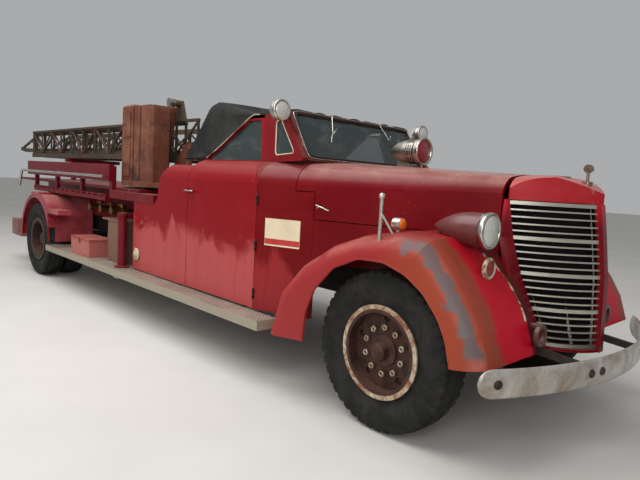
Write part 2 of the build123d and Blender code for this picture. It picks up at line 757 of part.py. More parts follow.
def cab_band(low, high, wall):
    """The right side wall of the cab, from the sill to the belt, along its whole length."""
    half, edge, edge_z = BODY_HALF, BELT_HALF, BELT_Z
    bend = 0.32 * (half - edge)
    mid = (0, -half + bend, edge_z - 0.36 * (edge_z - SHOULDER_Z))
    inner_mid = (0, -half + bend + wall * 0.8, mid[2] - wall * 0.55)
    edges = [
        Line((0, -half, low), (0, -half, SHOULDER_Z)),
        ThreePointArc((0, -half, SHOULDER_Z), mid, (0, -edge, edge_z)),
        Line((0, -edge, edge_z), (0, -edge, high)),
        Line((0, -edge, high), (0, -edge + wall, high)),
        Line((0, -edge + wall, high), (0, -edge + wall, edge_z - wall * 0.5)),
        ThreePointArc((0, -edge + wall, edge_z - wall * 0.5), inner_mid,
                      (0, -half + wall, SHOULDER_Z - wall * 0.5)),
        Line((0, -half + wall, SHOULDER_Z - wall * 0.5), (0, -half + wall, low)),
        Line((0, -half + wall, low), (0, -half, low)),
    ]
    return Pos(-3500, 0, 0) * extrude(make_face(edges), 2700, dir=(1, 0, 0))


def window_band(thick, inset=0):
    """The leaning side of the cab above the belt, as thick as a post or a pane."""
    low, top = BELT_Z - 10, HEADER_Z + 40
    lean = (BELT_HALF - HEADER_HALF) / (HEADER_Z - BELT_Z)
    a = -BELT_HALF + inset - lean * (BELT_Z - low)
    b = -BELT_HALF + inset + lean * (top - BELT_Z)
    return cross_prism([(a, low), (b, top), (b + thick, top), (a + thick, low)], -2700, -900)


def seam_x(z):
    """The rear edge of the door post's seam above the shoulder."""
    if z <= BELT_Z:
        t = (z - SHOULDER_Z) / (BELT_Z - SHOULDER_Z)
        return DOOR_FRONT_X + (DOOR_POST_BELT_X - DOOR_FRONT_X) * max(t, 0)
    t = (z - BELT_Z) / (HEADER_Z - BELT_Z)
    return DOOR_POST_BELT_X + (DOOR_POST_TOP_X - DOOR_POST_BELT_X) * t


def pane_at(z, ahead=0):
    """The windscreen's x at a height, moved forward along its normal."""
    t = (z - PANE_LOW_Z) / (PANE_TOP_Z - PANE_LOW_Z)
    return PANE_LOW_X + (PANE_TOP_X - PANE_LOW_X) * t + ahead


def pillar():
    """The fixed side of the windscreen: corner post and rear post round the vent window."""
    (fx, fz), (tx, tz) = PILLAR_FRONT
    outline = [(seam_x(BELT_Z) + GAP, BELT_Z - 8), (fx, fz), (tx, tz), (seam_x(tz) + GAP, tz)]
    body = window_band(WALL) & side_prism(outline, -1200, 0)
    hole = make_face(Polyline(*[(x, 0, z) for x, z in VENT], close=True))
    hole = fillet(hole.vertices(), VENT_R)
    return body - Pos(0, -1200, 0) * extrude(hole, 1200, dir=(0, 1, 0))


def corner_fill():
    """The part of the cowl that stands behind the taper's start, up to the door's seam."""
    outline = [(SHELL_REAR_X, SHOULDER_Z), (SHELL_REAR_X, BELT_Z + 6), (seam_x(BELT_Z) + 3, BELT_Z + 6),
               (seam_x(BELT_Z) + 3, BELT_Z)]
    outline += [(SHELL_REAR_X - 1, SHOULDER_Z)]
    return cab_band(SILL_Z, BELT_Z + 6, WALL) & side_prism(outline, -1200, 0)


def windscreen_frame():
    """Frame of the flat windscreen with its header rail and centre foot."""
    def slab(extra, half_extra, front, back):
        low = (pane_at(PANE_LOW_Z - extra), PANE_LOW_Z - extra)
        top = (pane_at(PANE_TOP_Z + extra), PANE_TOP_Z + extra)
        half = PANE_HALF + half_extra
        return side_prism([(low[0] + front, low[1]), (top[0] + front, top[1]),
                           (top[0] - back, top[1]), (low[0] - back, low[1])], -half, half)
    ring = slab(FRAME_W * 0.7, FRAME_W, 14, 14) - slab(0, 0, 60, 60)
    top = PANE_TOP_Z + FRAME_W * 0.7
    header = side_prism([(pane_at(top) + 16, top), (pane_at(top) - 70, top + 6),
                         (pane_at(top) - 70, top - HEADER_T), (pane_at(top) - 15, top - HEADER_T)],
                        -PANE_HALF - FRAME_W, PANE_HALF + FRAME_W)
    glass = slab(-1, -1, GLASS_T / 2, GLASS_T / 2)
    return ring + header, glass


def door():
    """The right door: panel, window post, top rail and the slanting rear rail."""
    low, front = DOOR_LOW_Z, DOOR_FRONT_X - 3
    top = BELT_Z + BELT_GAP
    panel = [(front, low), (front, SHOULDER_Z), (seam_x(BELT_Z) - 3, BELT_Z),
             (seam_x(top) - 3, top), (DOOR_REAR_X, top), (DOOR_REAR_X, low)]
    panel = cab_band(SILL_Z - 20, BELT_Z + BELT_GAP, WALL) & side_prism(panel, -1200, 0)
    head = HEADER_Z - 45
    foot_x, head_x = CANVAS_FRONT_LOW[0] + 12, CANVAS_FRONT_TOP[0] - 38
    post = [(seam_x(top) - 3, top - 12), (seam_x(head) - 3, head),
            (seam_x(head) - 3 - POST_W, head), (seam_x(top) - 3 - POST_W, top - 12)]
    rail = [(seam_x(head) - 3, head), (seam_x(head + SASH) - 3, head + SASH),
            (head_x - 28, head + SASH), (head_x, head)]
    slant = [(foot_x, top - 12), (head_x, head), (head_x - 28, head + SASH), (foot_x - 45, top - 12)]
    band = window_band(28, 8)
    frame = [band & side_prism(p, -1200, 0) for p in (post, rail, slant)]
    knob = rod((DOOR_REAR_X + 70, -BODY_HALF - 42, 1330), (DOOR_REAR_X + 70, -BODY_HALF + 5, 1330), 11)
    lever = rod((DOOR_REAR_X + 88, -BODY_HALF - 38, 1330), (DOOR_REAR_X - 10, -BODY_HALF - 38, 1330), 10)
    pane = [(seam_x(top) - 3 - POST_W, top), (seam_x(head) - 3 - POST_W, head), (head_x, head),
            (foot_x, top)]
    glass = window_band(GLASS_T, 20) & side_prism(pane, -1200, 0)
    return fused([panel] + frame + [knob, lever]), glass - fused([panel] + frame)


def quarter():
    """The right quarter panel behind the door, stepping down to the rear."""
    z, step, foot = SHELF_Z, QUARTER_STEP_X, QUARTER_FOOT_X
    front = DOOR_REAR_X - GAP
    edges = [
        Line((front, 0, SILL_Z), (front, 0, z)),
        Line((front, 0, z), (step - 20, 0, z)),
        ThreePointArc((step - 20, 0, z), (step - 145, 0, z - 70), (foot + 20, 0, z - 260)),
        ThreePointArc((foot + 20, 0, z - 260), (foot, 0, z - 330), (foot - 70, 0, QUARTER_LEDGE_Z)),
        Line((foot - 70, 0, QUARTER_LEDGE_Z), (QUARTER_REAR_X, 0, QUARTER_LEDGE_Z)),
        Line((QUARTER_REAR_X, 0, QUARTER_LEDGE_Z), (QUARTER_REAR_X, 0, SILL_Z)),
        Line((QUARTER_REAR_X, 0, SILL_Z), (front, 0, SILL_Z)),
    ]
    outline = Pos(0, -1200, 0) * extrude(make_face(edges), 1200, dir=(0, 1, 0))
    return cab_band(SILL_Z, BELT_Z + GAP, WALL) & outline


def cab_rear():
    """Quarter panels, back wall, shelf behind the seat and ledge, in one shell."""
    side = quarter()
    half = BODY_HALF - WALL + 4
    wall = block(BACK_WALL_X - PANEL_T, BACK_WALL_X, -half, half, CAB_FLOOR_Z - FLOOR_T, SHELF_Z - 130)
    upper = block(BACK_WALL_X - PANEL_T, BACK_WALL_X, -840, 840, SHELF_Z - 131, SHELF_Z)
    shelf = block(BACK_WALL_X - 10, SEAT_REAR_X - 120, -870, 870, SHELF_Z - PANEL_T, SHELF_Z)
    ledge = block(QUARTER_REAR_X, BACK_WALL_X - 5, -half, half,
                  QUARTER_LEDGE_Z - PANEL_T, QUARTER_LEDGE_Z)
    return fused([side, flipped(side), wall, upper, shelf, ledge])


def canvas():
    """The canvas top: two sides, a roof and a back, open below and in front of its flap."""
    peak, back, hem, low, corner = (CANVAS_PEAK, CANVAS_BACK, CANVAS_HEM, CANVAS_FRONT_LOW,
                                    CANVAS_FRONT_TOP)
    head = (pane_at(HEADER_Z + 10) - 62, HEADER_Z + 32)
    t = CANVAS_T
    eave = head[1] - 46
    outer = [head, peak, back, hem, low, (corner[0] - 60, eave), (head[0], eave)]
    inner = [(head[0] + 50, head[1] - t - 6), (peak[0], peak[1] - t), (back[0] + t, back[1] - t),
             (hem[0] + t, hem[1] - 60), (head[0] + 50, hem[1] - 60)]

    def tapered(inset):
        lean = (BELT_HALF - HEADER_HALF) / (HEADER_Z - BELT_Z)
        z0, z1 = 1400, 2300
        a = BELT_HALF + 4 + lean * (BELT_Z - z0) - inset
        b = BELT_HALF + 4 + lean * (BELT_Z - z1) - inset
        return cross_prism([(-a, z0), (a, z0), (b, z1), (-b, z1)], -2800, -900)
    return (side_prism(outer, -900, 900) & tapered(0)) - (side_prism(inner, -900, 900) & tapered(t))


def cab_floor():
    """Floor, firewall, seat box and the steering column's tube."""
    half = half_width(FIREWALL_X) - 60
    floor = block(BACK_WALL_X, SHELL_REAR_X, -BODY_HALF + WALL + 5, BODY_HALF - WALL - 5,
                  CAB_FLOOR_Z - FLOOR_T, CAB_FLOOR_Z)
    toe = block(SHELL_REAR_X - 5, FIREWALL_X, -half, half, CAB_FLOOR_Z - FLOOR_T, CAB_FLOOR_Z)
    wall = block(FIREWALL_X - 20, FIREWALL_X, -half, half, CAB_FLOOR_Z - 5, SHOULDER_Z - 60)
    box = block(SEAT_REAR_X, SEAT_FRONT_X + 30, -SEAT_HALF + 20, SEAT_HALF - 20,
                CAB_FLOOR_Z - 5, SEAT_BASE_Z)
    top, foot = Vector(*WHEEL_AT), Vector(*COLUMN_FOOT)
    run = (top - foot).normalized()
    column = rod(foot, top - run * 60, 24)
    stay = rod(foot, (FIREWALL_X - 10, foot.Y, foot.Z - 90), 20)
    return fused([floor, toe, wall, box, column, stay])


def steering_wheel():
    """Rim, four spokes and hub on the column's line."""
    top, foot = Vector(*WHEEL_AT), Vector(*COLUMN_FOOT)
    run = (top - foot).normalized()
    plane = Plane(origin=top, x_dir=(0, 1, 0), z_dir=run)
    rim = Torus(WHEEL_R, WHEEL_TUBE)
    spokes = [Rot(0, 0, a) * Pos(WHEEL_R / 2, 0, 0) * Box(WHEEL_R, 24, 10) for a in (0, 90, 180, 270)]
    hub = Pos(0, 0, -20) * Cylinder(42, 56)
    return plane.location * fused([rim, hub] + spokes)


def seat():
    """Bench cushion and back rest."""
    cushion = block(SEAT_REAR_X, SEAT_FRONT_X, -SEAT_HALF, SEAT_HALF, SEAT_BASE_Z + 1,
                    SEAT_BASE_Z + CUSHION_T)
    cushion = fillet(cushion.edges().filter_by(Axis.Z, reverse=True).group_by(Axis.Z)[-1], 30)
    foot, top = SEAT_BASE_Z + CUSHION_T + 2, SHELF_Z + 40
    back = side_prism([(SEAT_REAR_X + 20, foot), (SEAT_REAR_X - 70, top),
                       (SEAT_REAR_X - 115, top), (SEAT_REAR_X - 105, foot)],
                      -SEAT_HALF, SEAT_HALF)
    return [cushion, back]


door_right, glass_right = door()
for side, put in (("right", lambda s: s), ("left", flipped)):
    write(f"door_{side}", put(door_right))
    write(f"door_glass_{side}", put(glass_right))
frame_ring, pane_glass = windscreen_frame()
post = pillar()
dash = block(DASH_X, DASH_X + 60, -BELT_HALF + 60, BELT_HALF - 60, 1330, 1600)
hood_swing = block(HOOD_REAR_X - GAP, HOOD_REAR_X + HOOD_SWING, -BELT_HALF - HOOD_SWING, -BELT_HALF + 80,
                   PANEL_TOP_Z + 200, PANEL_TOP_Z + 300)
fill = corner_fill()
sides = [fill - hood_swing, post - hood_swing, valance_right]
cowl_whole = fused([cowl_shell, dash] + sides + [flipped(s) for s in sides])
cowl_whole = cowl_whole - fender_right - flipped(fender_right)
write("cowl", cowl_whole)
write("windscreen_frame", frame_ring - cowl_whole)
write("windscreen_glass", pane_glass - cowl_whole)
cab_rear_body = cab_rear()
write("cab_rear", cab_rear_body)
write("cab_floor", cab_floor() - cowl_whole)
write("seat", seat())
write("steering_wheel", steering_wheel())
write("canvas_top", canvas() - cowl_whole - frame_ring)

# Rear body
DISC_LOW, DISC_TOP = 1318, 1365
RACE_R = 420
KING_POST_R = 80
CORE_HALF = 520
CORE_FRONT_X = -3400
CORE_REAR_X = RAIL_REAR_X + 50
BED_DECK_T = 30
BED_END_X = RAIL_REAR_X
POST_XS = (BED_FRONT_X - 10, -4900, BED_REAR_X + 1120, BED_REAR_X + 260)
TRAY_LOW, TRAY_TOP = 1130, 1200
TRAY_FRONT_X, TRAY_REAR_X = BED_FRONT_X - 100, BED_REAR_X + 300
TRAY_SLOTS = 14
RAIL_TUBE_R = 18
RAIL_TUBE_Y = 1000
RAIL_TUBE_Z = 1400
BOX_FRONT_X, BOX_REAR_X = -3600, -4000
BOX_OUT_Y, BOX_IN_Y = 950, 560
BOX_TOP = 925
CHEST_FRONT_X, CHEST_REAR_X = -4200, -4750
CHEST_OUT_Y, CHEST_IN_Y = 1080, 800
CHEST_TOP = 655
CHEST_WALL = 16
LID_T = 22
JACK_X = -3500
JACK_Y = 1010
JACK_R = 45
JACK_LEG_R = 34
JACK_TOP = 1040
JACK_PAD_T = 24
JACK_PAD_R = 80
SILL_IN_Y = 470
HANGER_XS = (-1500, -2500, -3250, -4400, BOARD_REAR_X + 320)
CRADLE_X = BED_REAR_X + 20
GRAB_REAR_X = BED_REAR_X - 100
TAIL_BOARD_Z = 400
TAIL_BOARD_T = 45
TAIL_BOX_TOP = 650


def running_board():
    """The right running board: a tread beside the cab, a wider shelf behind it, hangers."""
    low, top = BOARD_TOP - BOARD_T, BOARD_TOP
    tread = block(BOARD_REAR_X, BOARD_FRONT_X - 45, -BOARD_OUT_Y, -BOARD_IN_Y, low, top)
    shelf = block(BOARD_REAR_X + 60, QUARTER_REAR_X - GAP, -BOARD_IN_Y - 1, -SILL_IN_Y, low, top)
    arms = []
    for x in HANGER_XS:
        arms.append(block(x - 25, x + 25, -BOARD_IN_Y - 10, -RAIL_Y, low + 5, low + 50))
        arms.append(block(x - 25, x + 25, -RAIL_Y - 30, -RAIL_Y, low + 20, RAIL_TOP - RAIL_DEPTH))
    hole = Pos(JACK_X, -JACK_Y, top) * Cylinder(JACK_LEG_R + GAP, 4 * BOARD_T)
    return fused([tread, shelf] + arms) - hole


def rear_fender():
    """The right rear fender: an arch over the twin tyres with an upright front panel."""
    x, z, r = -WHEELBASE, TYRE_R, REAR_FENDER_R + 20
    front = x + 520
    low = SILL_Z + 20

    def outline(skin):
        rr = r - skin
        foot = low - (60 if skin else 0)
        side = make_face([
            ThreePointArc((x - rr, 0, z), (x - rr * math.cos(math.radians(45)), 0,
                                          z + rr * math.sin(math.radians(45))), (x, 0, z + rr)),
            Line((x, 0, z + rr), (x + 190, 0, z + rr)),
            ThreePointArc((x + 190, 0, z + rr), (front - 75, 0, z + rr - 95),
                          (front - skin, 0, z + rr - 270)),
            Line((front - skin, 0, z + rr - 270), (front - skin, 0, foot)),
            Line((front - skin, 0, foot), (x - rr, 0, foot)),
            Line((x - rr, 0, foot), (x - rr, 0, z)),
        ])
        return side
    out, inn = REAR_FENDER_OUT_Y, REAR_FENDER_IN_Y
    whole = Pos(0, -out, 0) * extrude(outline(0), out - inn, dir=(0, 1, 0))
    room = Pos(0, -out + FENDER_SKIN, 0) * extrude(outline(FENDER_SKIN), out - inn + 50, dir=(0, 1, 0))
    arch = rod((x, -out - 50, z), (x, -out + 100, z), REAR_FENDER_R - 32)
    foot = block(x - REAR_FENDER_R + 32, x + REAR_FENDER_R - 32, -out - 50, -out + 100, 0, z)
    return whole - room - arch - foot


def tread_pads():
    """Step pads on the rear fender's crown and beside its front panel."""
    x, top = -WHEELBASE, TYRE_R + REAR_FENDER_R + 20
    crown = block(x - 110, x + 180, -REAR_FENDER_OUT_Y - 10, -REAR_FENDER_OUT_Y + 250, top - 4, top + 22)
    step = block(x + 488, x + 900, -BOARD_OUT_Y + 15, -BED_SIDE_Y, 880, 935)
    return [crown, step]


def bed():
    """Deck, core, side panels with their posts, and the rear cradle of the ladder."""
    half = BED_SIDE_Y - PANEL_T - 20
    core = block(CORE_REAR_X, CORE_FRONT_X, -CORE_HALF, CORE_HALF, RAIL_TOP, DECK_Z - BED_DECK_T + 1)
    deck = block(BED_END_X, CORE_FRONT_X + 25, -half, half, DECK_Z - BED_DECK_T, DECK_Z)
    pieces = [core, deck]
    for s in (-1, 1):
        y0, y1 = s * BED_SIDE_Y, s * (BED_SIDE_Y - PANEL_T)
        pieces.append(block(BED_REAR_X, BED_FRONT_X, min(y0, y1), max(y0, y1), BED_LOW, BED_TOP))
        lip0, lip1 = s * BED_SIDE_Y, s * (BED_SIDE_Y - 70)
        pieces.append(block(BED_REAR_X, BED_FRONT_X, min(lip0, lip1), max(lip0, lip1),
                            BED_TOP - 12, BED_TOP))
        for x in POST_XS:
            a, b = s * (BED_SIDE_Y - PANEL_T - 45), s * (BED_SIDE_Y - PANEL_T + 1)
            pieces.append(block(x - 30, x + 30, min(a, b), max(a, b), TRAY_TOP, BED_TOP - 20))
            c, d = s * (half - 30), s * (BED_SIDE_Y - PANEL_T + 1)
            pieces.append(block(x - 30, x + 30, min(c, d), max(c, d), DECK_Z - BED_DECK_T, DECK_Z))
    for y in (-1, 1):
        pieces.append(block(CRADLE_X - 30, CRADLE_X + 30, y * 300 - 30, y * 300 + 30, DECK_Z - 5,
                            CHORD_LOW_Z - 110))
    pieces.append(block(CRADLE_X - 40, CRADLE_X + 40, -420, 420, CHORD_LOW_Z - 112, CHORD_LOW_Z - 58))
    tray_right = tray()
    shelf = side_shelf() - cab_rear_body
    pieces += both_sides(tray_right) + both_sides(shelf)
    race = Pos(TURN_X, 0, (DECK_Z + DISC_LOW - GAP) / 2) * Cylinder(RACE_R, DISC_LOW - GAP - DECK_Z)
    king_post = Pos(TURN_X, 0, (DECK_Z + DISC_LOW + 30) / 2) * Cylinder(KING_POST_R, DISC_LOW + 30 - DECK_Z)
    return fused(pieces + [race, king_post])


def tray():
    """The right slotted hose rail below the deck."""
    out, inn = BED_SIDE_Y, BED_SIDE_Y - 75
    body = block(TRAY_REAR_X, TRAY_FRONT_X, -out, -inn, TRAY_LOW, TRAY_TOP)
    room = block(TRAY_REAR_X + 10, TRAY_FRONT_X - 10, -out + 10, -inn - 10, TRAY_LOW + 10, TRAY_TOP + 5)
    pitch = (TRAY_FRONT_X - TRAY_REAR_X) / TRAY_SLOTS
    slots = []
    for i in range(TRAY_SLOTS):
        x = TRAY_REAR_X + pitch * (i + 0.5)
        slots.append(block(x - pitch * 0.32, x + pitch * 0.32, -out - 5, -out + 15,
                           TRAY_TOP - 26, TRAY_TOP - 8))
    return (body - room).cut(*slots)


def side_shelf():
    """The pale-edged shelf between the bed and the quarter panel."""
    x0, x1 = BED_FRONT_X + 40, QUARTER_FOOT_X - 60
    return block(x0, x1, -BED_SIDE_Y - 10, -CORE_HALF + 5, QUARTER_LEDGE_Z + 1, QUARTER_LEDGE_Z + 85)


def lockers():
    """The right locker on the shelf: a closed box with a ledge."""
    box = block(BOX_REAR_X, BOX_FRONT_X, -BOX_OUT_Y, -BOX_IN_Y, BOARD_TOP, BOX_TOP)
    ledge = block(BOX_REAR_X - 130, BOX_FRONT_X + 10, -BOX_OUT_Y - 12, -BOX_IN_Y + 10,
                  BOX_TOP - 1, BOX_TOP + 18)
    return fused([box, ledge])


def chest():
    """The right tool chest, open on top, on the running board."""
    outer = block(CHEST_REAR_X, CHEST_FRONT_X, -CHEST_OUT_Y, -CHEST_IN_Y, BOARD_TOP, CHEST_TOP)
    w = CHEST_WALL
    room = block(CHEST_REAR_X + w, CHEST_FRONT_X - w, -CHEST_OUT_Y + w, -CHEST_IN_Y - w,
                 BOARD_TOP + w, CHEST_TOP + 10)
    return outer - room


def chest_lid():
    """The right chest's lid, with its rolled edge and clasp."""
    top = block(CHEST_REAR_X - 6, CHEST_FRONT_X + 6, -CHEST_OUT_Y - 6, -CHEST_IN_Y,
                CHEST_TOP + 2, CHEST_TOP + LID_T)
    middle = (CHEST_FRONT_X + CHEST_REAR_X) / 2
    clasp = block(middle - 14, middle + 14, -CHEST_OUT_Y - 13, -CHEST_OUT_Y - 5, CHEST_TOP - 45,
                  CHEST_TOP + LID_T - 4)
    return top + clasp


def jack_sleeve():
    """The right ground jack's sleeve with its foot flange on the running board."""
    place = Pos(JACK_X, -JACK_Y, 0)
    height = JACK_TOP - BOARD_TOP
    tube = place * Pos(0, 0, BOARD_TOP + height / 2) * Cylinder(JACK_R, height)
    flange = place * Pos(0, 0, BOARD_TOP + 9) * Cylinder(JACK_R + 30, 18)
    collar = place * Pos(0, 0, JACK_TOP - 20) * Cylinder(JACK_R + 7, 40)
    arm = block(JACK_X - 20, JACK_X + 20, -JACK_Y + 20, -CORE_HALF, 985, 1030)
    bore = place * Pos(0, 0, BOARD_TOP + height / 2 - 60) * Cylinder(JACK_LEG_R + 0.05, height)
    return fused([tube, flange, collar, arm]) - bore


def jack_leg():
    """The leg inside the right jack, with its round foot below the running board."""
    place = Pos(JACK_X, -JACK_Y, 0)
    low = BOARD_TOP - BOARD_T - 10
    leg = place * Pos(0, 0, (low - 5 + JACK_TOP - 80) / 2) * Cylinder(JACK_LEG_R, JACK_TOP - 80 - low + 5)
    pad = place * Pos(0, 0, low - JACK_PAD_T / 2) * Cylinder(JACK_PAD_R, JACK_PAD_T)
    return leg + pad


def valves():
    """A pipe with three branch valves and hand wheels above the right shelf."""
    y, z = -CORE_HALF - 190, 1010
    pipe = rod((-4920, y, z), (-4080, y, z), 32)
    parts = [pipe]
    for x in (-4820, -4500, -4190):
        parts.append(rod((x, y, z), (x, y - 130, z), 30))
        parts.append(rod((x, y - 110, z), (x, y - 135, z), 44))
        parts.append(rod((x, y, z), (x, y, z + 70), 16))
        parts.append(rod((x, y, z + 60), (x, y, z + 72), 46))
        parts.append(rod((x, y, z), (x, -CORE_HALF, z), 20))
    return fused(parts)


def grab_rail():
    """The right grab rail along the bed, bent down at its rear end."""
    y, z = -RAIL_TUBE_Y, RAIL_TUBE_Z
    rail = rod((GRAB_REAR_X, y, z), (BED_FRONT_X - 30, y, z), RAIL_TUBE_R)
    down = rod((GRAB_REAR_X, y, z), (GRAB_REAR_X - 120, y, z - 230), RAIL_TUBE_R)
    knee = Pos(GRAB_REAR_X, y, z) * Sphere(RAIL_TUBE_R)
    stays = [rod((x, y, z), (x, -BED_SIDE_Y, z), 11) 
             for x in (BED_FRONT_X - 300, -5200, BED_REAR_X + 800, BED_REAR_X + 100)]
    return fused([rail, down, knee] + stays)


def tail():
    """Rear platform on two hangers, with a box at each side."""
    top = TAIL_BOARD_Z + TAIL_BOARD_T
    board = block(TAIL_X, TAIL_X + TAIL_DEPTH, -TAIL_HALF, TAIL_HALF, TAIL_BOARD_Z, top)
    pieces = [board]
    for s in (-1, 1):
        a, b = s * TAIL_HALF, s * (TAIL_HALF - 340)
        pieces.append(block(TAIL_X, TAIL_X + 300, min(a, b), max(a, b), top - 1, TAIL_BOX_TOP))
        c, d = s * (RAIL_Y - 20), s * (RAIL_Y + 20)
        pieces.append(block(TAIL_X + 200, TAIL_X + 300, min(c, d), max(c, d), top - 1,
                            RAIL_TOP - RAIL_DEPTH))
    return fused(pieces)


board = running_board()
write("running_boards", both_sides(board))
write("rear_fenders", both_sides(fused([rear_fender()] + tread_pads())))
write("bed", bed())
write("tool_boxes", both_sides(lockers()) + both_sides(chest()))
write("jack_sleeves", both_sides(jack_sleeve()))
write("valves", both_sides(valves()))
write("grab_rails", both_sides(grab_rail()))
write("tailboard", tail())
for side, put in (("right", lambda s: s), ("left", flipped)):
    write(f"chest_lid_{side}", put(chest_lid()))
    write(f"jack_leg_{side}", put(jack_leg()))

# Lamps and fittings
HEADLAMP = (515, 720, 1262)
HEADLAMP_R = 98
HEADLAMP_LENGTH = 370
SIDE_LAMP = (528, 722, 1056)
SIDE_LAMP_R = 56
SIDE_LAMP_LENGTH = 170
SIREN_X = (-830, -505)
SIREN_Z = 1752
SIREN_R = 98
SPOT = (-1205, 868, 1985)
SPOT_R = 74
MARKER = (0, 1050)
MARKER_TOP = 1430
AMBER = (55, 950, 1262)
AMBER_R = 36
TOW_RING = (736, 500, 700)
TOW_RING_R = 62
TOW_RING_T = 22
TOW_HOLE_R = 40
TOW_LUG_HALF = 14
TOW_LUG_LENGTH = 80
ORNAMENT_X = 722
TAIL_R = 7


def bullet(front, y, z, radius, length):
    """A lamp pod: a round lens end that narrows to a point behind."""
    edges = [
        Line((front - length, 0, 0), (front, 0, 0)),
        Line((front, 0, 0), (front, 0, radius)),
        Line((front, 0, radius), (front - length * 0.3, 0, radius)),
        ThreePointArc((front - length * 0.3, 0, radius), (front - length * 0.72, 0, radius * 0.68),
                      (front - length, 0, TAIL_R)),
        Line((front - length, 0, TAIL_R), (front - length, 0, 0)),
    ]
    return Pos(0, y, z) * revolve(make_face(edges), Axis.X)


def lens(front, y, z, radius, bulge):
    """A domed glass on the front of a lamp."""
    edges = [
        Line((front, 0, 0), (front + bulge, 0, 0)),
        ThreePointArc((front + bulge, 0, 0), (front + bulge * 0.72, 0, radius * 0.55), (front, 0, radius)),
        Line((front, 0, radius), (front, 0, 0)),
    ]
    return Pos(0, y, z) * revolve(make_face(edges), Axis.X)


def siren():
    """A bullet siren on a foot, with a flared bell round its lens."""
    x0, x1 = SIREN_X
    body = bullet(x1, 0, SIREN_Z, SIREN_R - 6, x1 - x0)
    bell = Pos(x1 - 12, 0, SIREN_Z) * Rot(0, 90, 0) * Cylinder(SIREN_R, 30)
    foot = rod((-680, 0, CROWN_REAR_Z - 33), (-680, 0, SIREN_Z), HINGE_STRIP / 2 - 1)
    base = block(-740, -600, -HINGE_STRIP / 2 + 2, HINGE_STRIP / 2 - 2, CROWN_REAR_Z - 40, SIREN_Z - 60)
    return fused([body, bell, foot, base])


def spotlight():
    """The right spotlight: a bowl on an arm from the windscreen post."""
    x, y, z = SPOT
    bowl = bullet(x + 50, -y, z, SPOT_R, 130)
    arm = rod((x - 10, -y, z - 30), (-1283, -715, z - 60), 10)
    return fused([bowl, arm])


def ornament():
    """A streamlined fin and a filler disc on its stem, on the nose's crown."""
    fin = side_prism([(470, 1540), (650, 1540), (615, 1600), (500, 1604)], -9, 9)
    stem = rod((ORNAMENT_X, 0, 1500), (ORNAMENT_X, 0, 1650), 9)
    disc = rod((ORNAMENT_X, -13, 1650), (ORNAMENT_X, 13, 1650), 26)
    wings = rod((ORNAMENT_X, -70, 1650), (ORNAMENT_X, 70, 1650), 6)
    neck = rod((ORNAMENT_X, 0, 1500), (ORNAMENT_X, 0, 1572), 30)
    filler = fused([stem, disc, wings, neck])
    return [(s - nose_body).solids().sort_by(SortBy.VOLUME)[-1] for s in (fin, filler)]


def tow_ring():
    """The right towing eye: a thick ring on a lug at the nose panel."""
    x, y, z = TOW_RING
    ring = rod((x, -y, z), (x + TOW_RING_T, -y, z), TOW_RING_R)
    ring -= rod((x - 1, -y, z), (x + TOW_RING_T + 1, -y, z), TOW_HOLE_R)
    lug_front = x + TOW_RING_T / 2
    lug = block(lug_front - TOW_LUG_LENGTH, lug_front, -y - TOW_LUG_HALF, -y + TOW_LUG_HALF,
                z + TOW_HOLE_R + 2, z + TOW_RING_R - 4)
    return fused([ring, lug])


def lamp_pod():
    """The right headlamp's pod on its stem, cut to the fender and the nose."""
    x, y, z = HEADLAMP
    pod = bullet(x, -y, z, HEADLAMP_R, HEADLAMP_LENGTH)
    return cut_to_body(pod)


def cut_to_body(shape):
    """What stands outside the front fender, the nose and the cowl."""
    return (shape - fender_right - nose_body).solids().sort_by(SortBy.VOLUME)[-1]


def marker_rod():
    """The right fender's marker rod with its ball and brace."""
    x, y = MARKER
    parts = [rod((x, -y, 1030), (x, -y, MARKER_TOP - 15), 11), Pos(x, -y, MARKER_TOP - 12) * Sphere(19),
             rod((x + 12, -y, 1310), (x + 75, -y + 70, 1160), 7), rod((x, -y, 1310), (x + 14, -y, 1310), 8)]
    return cut_to_body(fused(parts))


def amber_lamp():
    """The right direction lamp, a short drum on a stem."""
    x, y, z = AMBER
    drum = rod((x - 26, -y, z), (x + 26, -y, z), AMBER_R)
    return cut_to_body(fused([drum, rod((x, -y, 1150), (x, -y, z), 12)]))


low_lamp = bullet(SIDE_LAMP[0], -SIDE_LAMP[1], SIDE_LAMP[2], SIDE_LAMP_R, SIDE_LAMP_LENGTH)
write("lamp_pods", both_sides(lamp_pod()) + both_sides(cut_to_body(low_lamp))
      + both_sides(spotlight() - cowl_whole))
clear = [lens(HEADLAMP[0], -HEADLAMP[1], HEADLAMP[2], HEADLAMP_R - 10, 22),
         lens(SIDE_LAMP[0], -SIDE_LAMP[1], SIDE_LAMP[2], SIDE_LAMP_R - 7, 12),
         lens(SPOT[0] + 50, -SPOT[1], SPOT[2], SPOT_R - 6, 16)]
red_lens = lens(SIREN_X[1] + 3, 0, SIREN_Z, SIREN_R - 14, 20)
write("lamp_glasses", clear + [flipped(c) for c in clear] + [red_lens])
write("siren", siren() - cowl_whole)
write("front_fittings", ornament() + both_sides(cut_to_body(tow_ring())) + both_sides(marker_rod())
      + both_sides(amber_lamp()))


# Turntable and ladder
DISC_R = 880
TRESTLE_Y = 385
TRESTLE_T = 16
HOIST_PIN_R = 22
HOIST_AT_Y = 475
BARREL_END = 790
GLAND_R = 84
ROD_EYE = (-3530, 2240)
ROD_EYE_R = 46
CHORD_W = 46
SIDE_RAIL_H = 66
PITCH = 459
RUNG_R = 15
RUNG_PITCH = 355
# Section: outer half width, rear x, front x, side rail's low z, top chord's top z
LADDER_ROWS = (
    ("ladder_base", 378, -8660, -3150, 1622, 2070),
    ("ladder_mid", 322, -8750, -3500, 1668, 2046),
    ("ladder_fly", 266, -8840, -3900, 1712, 2022),
)


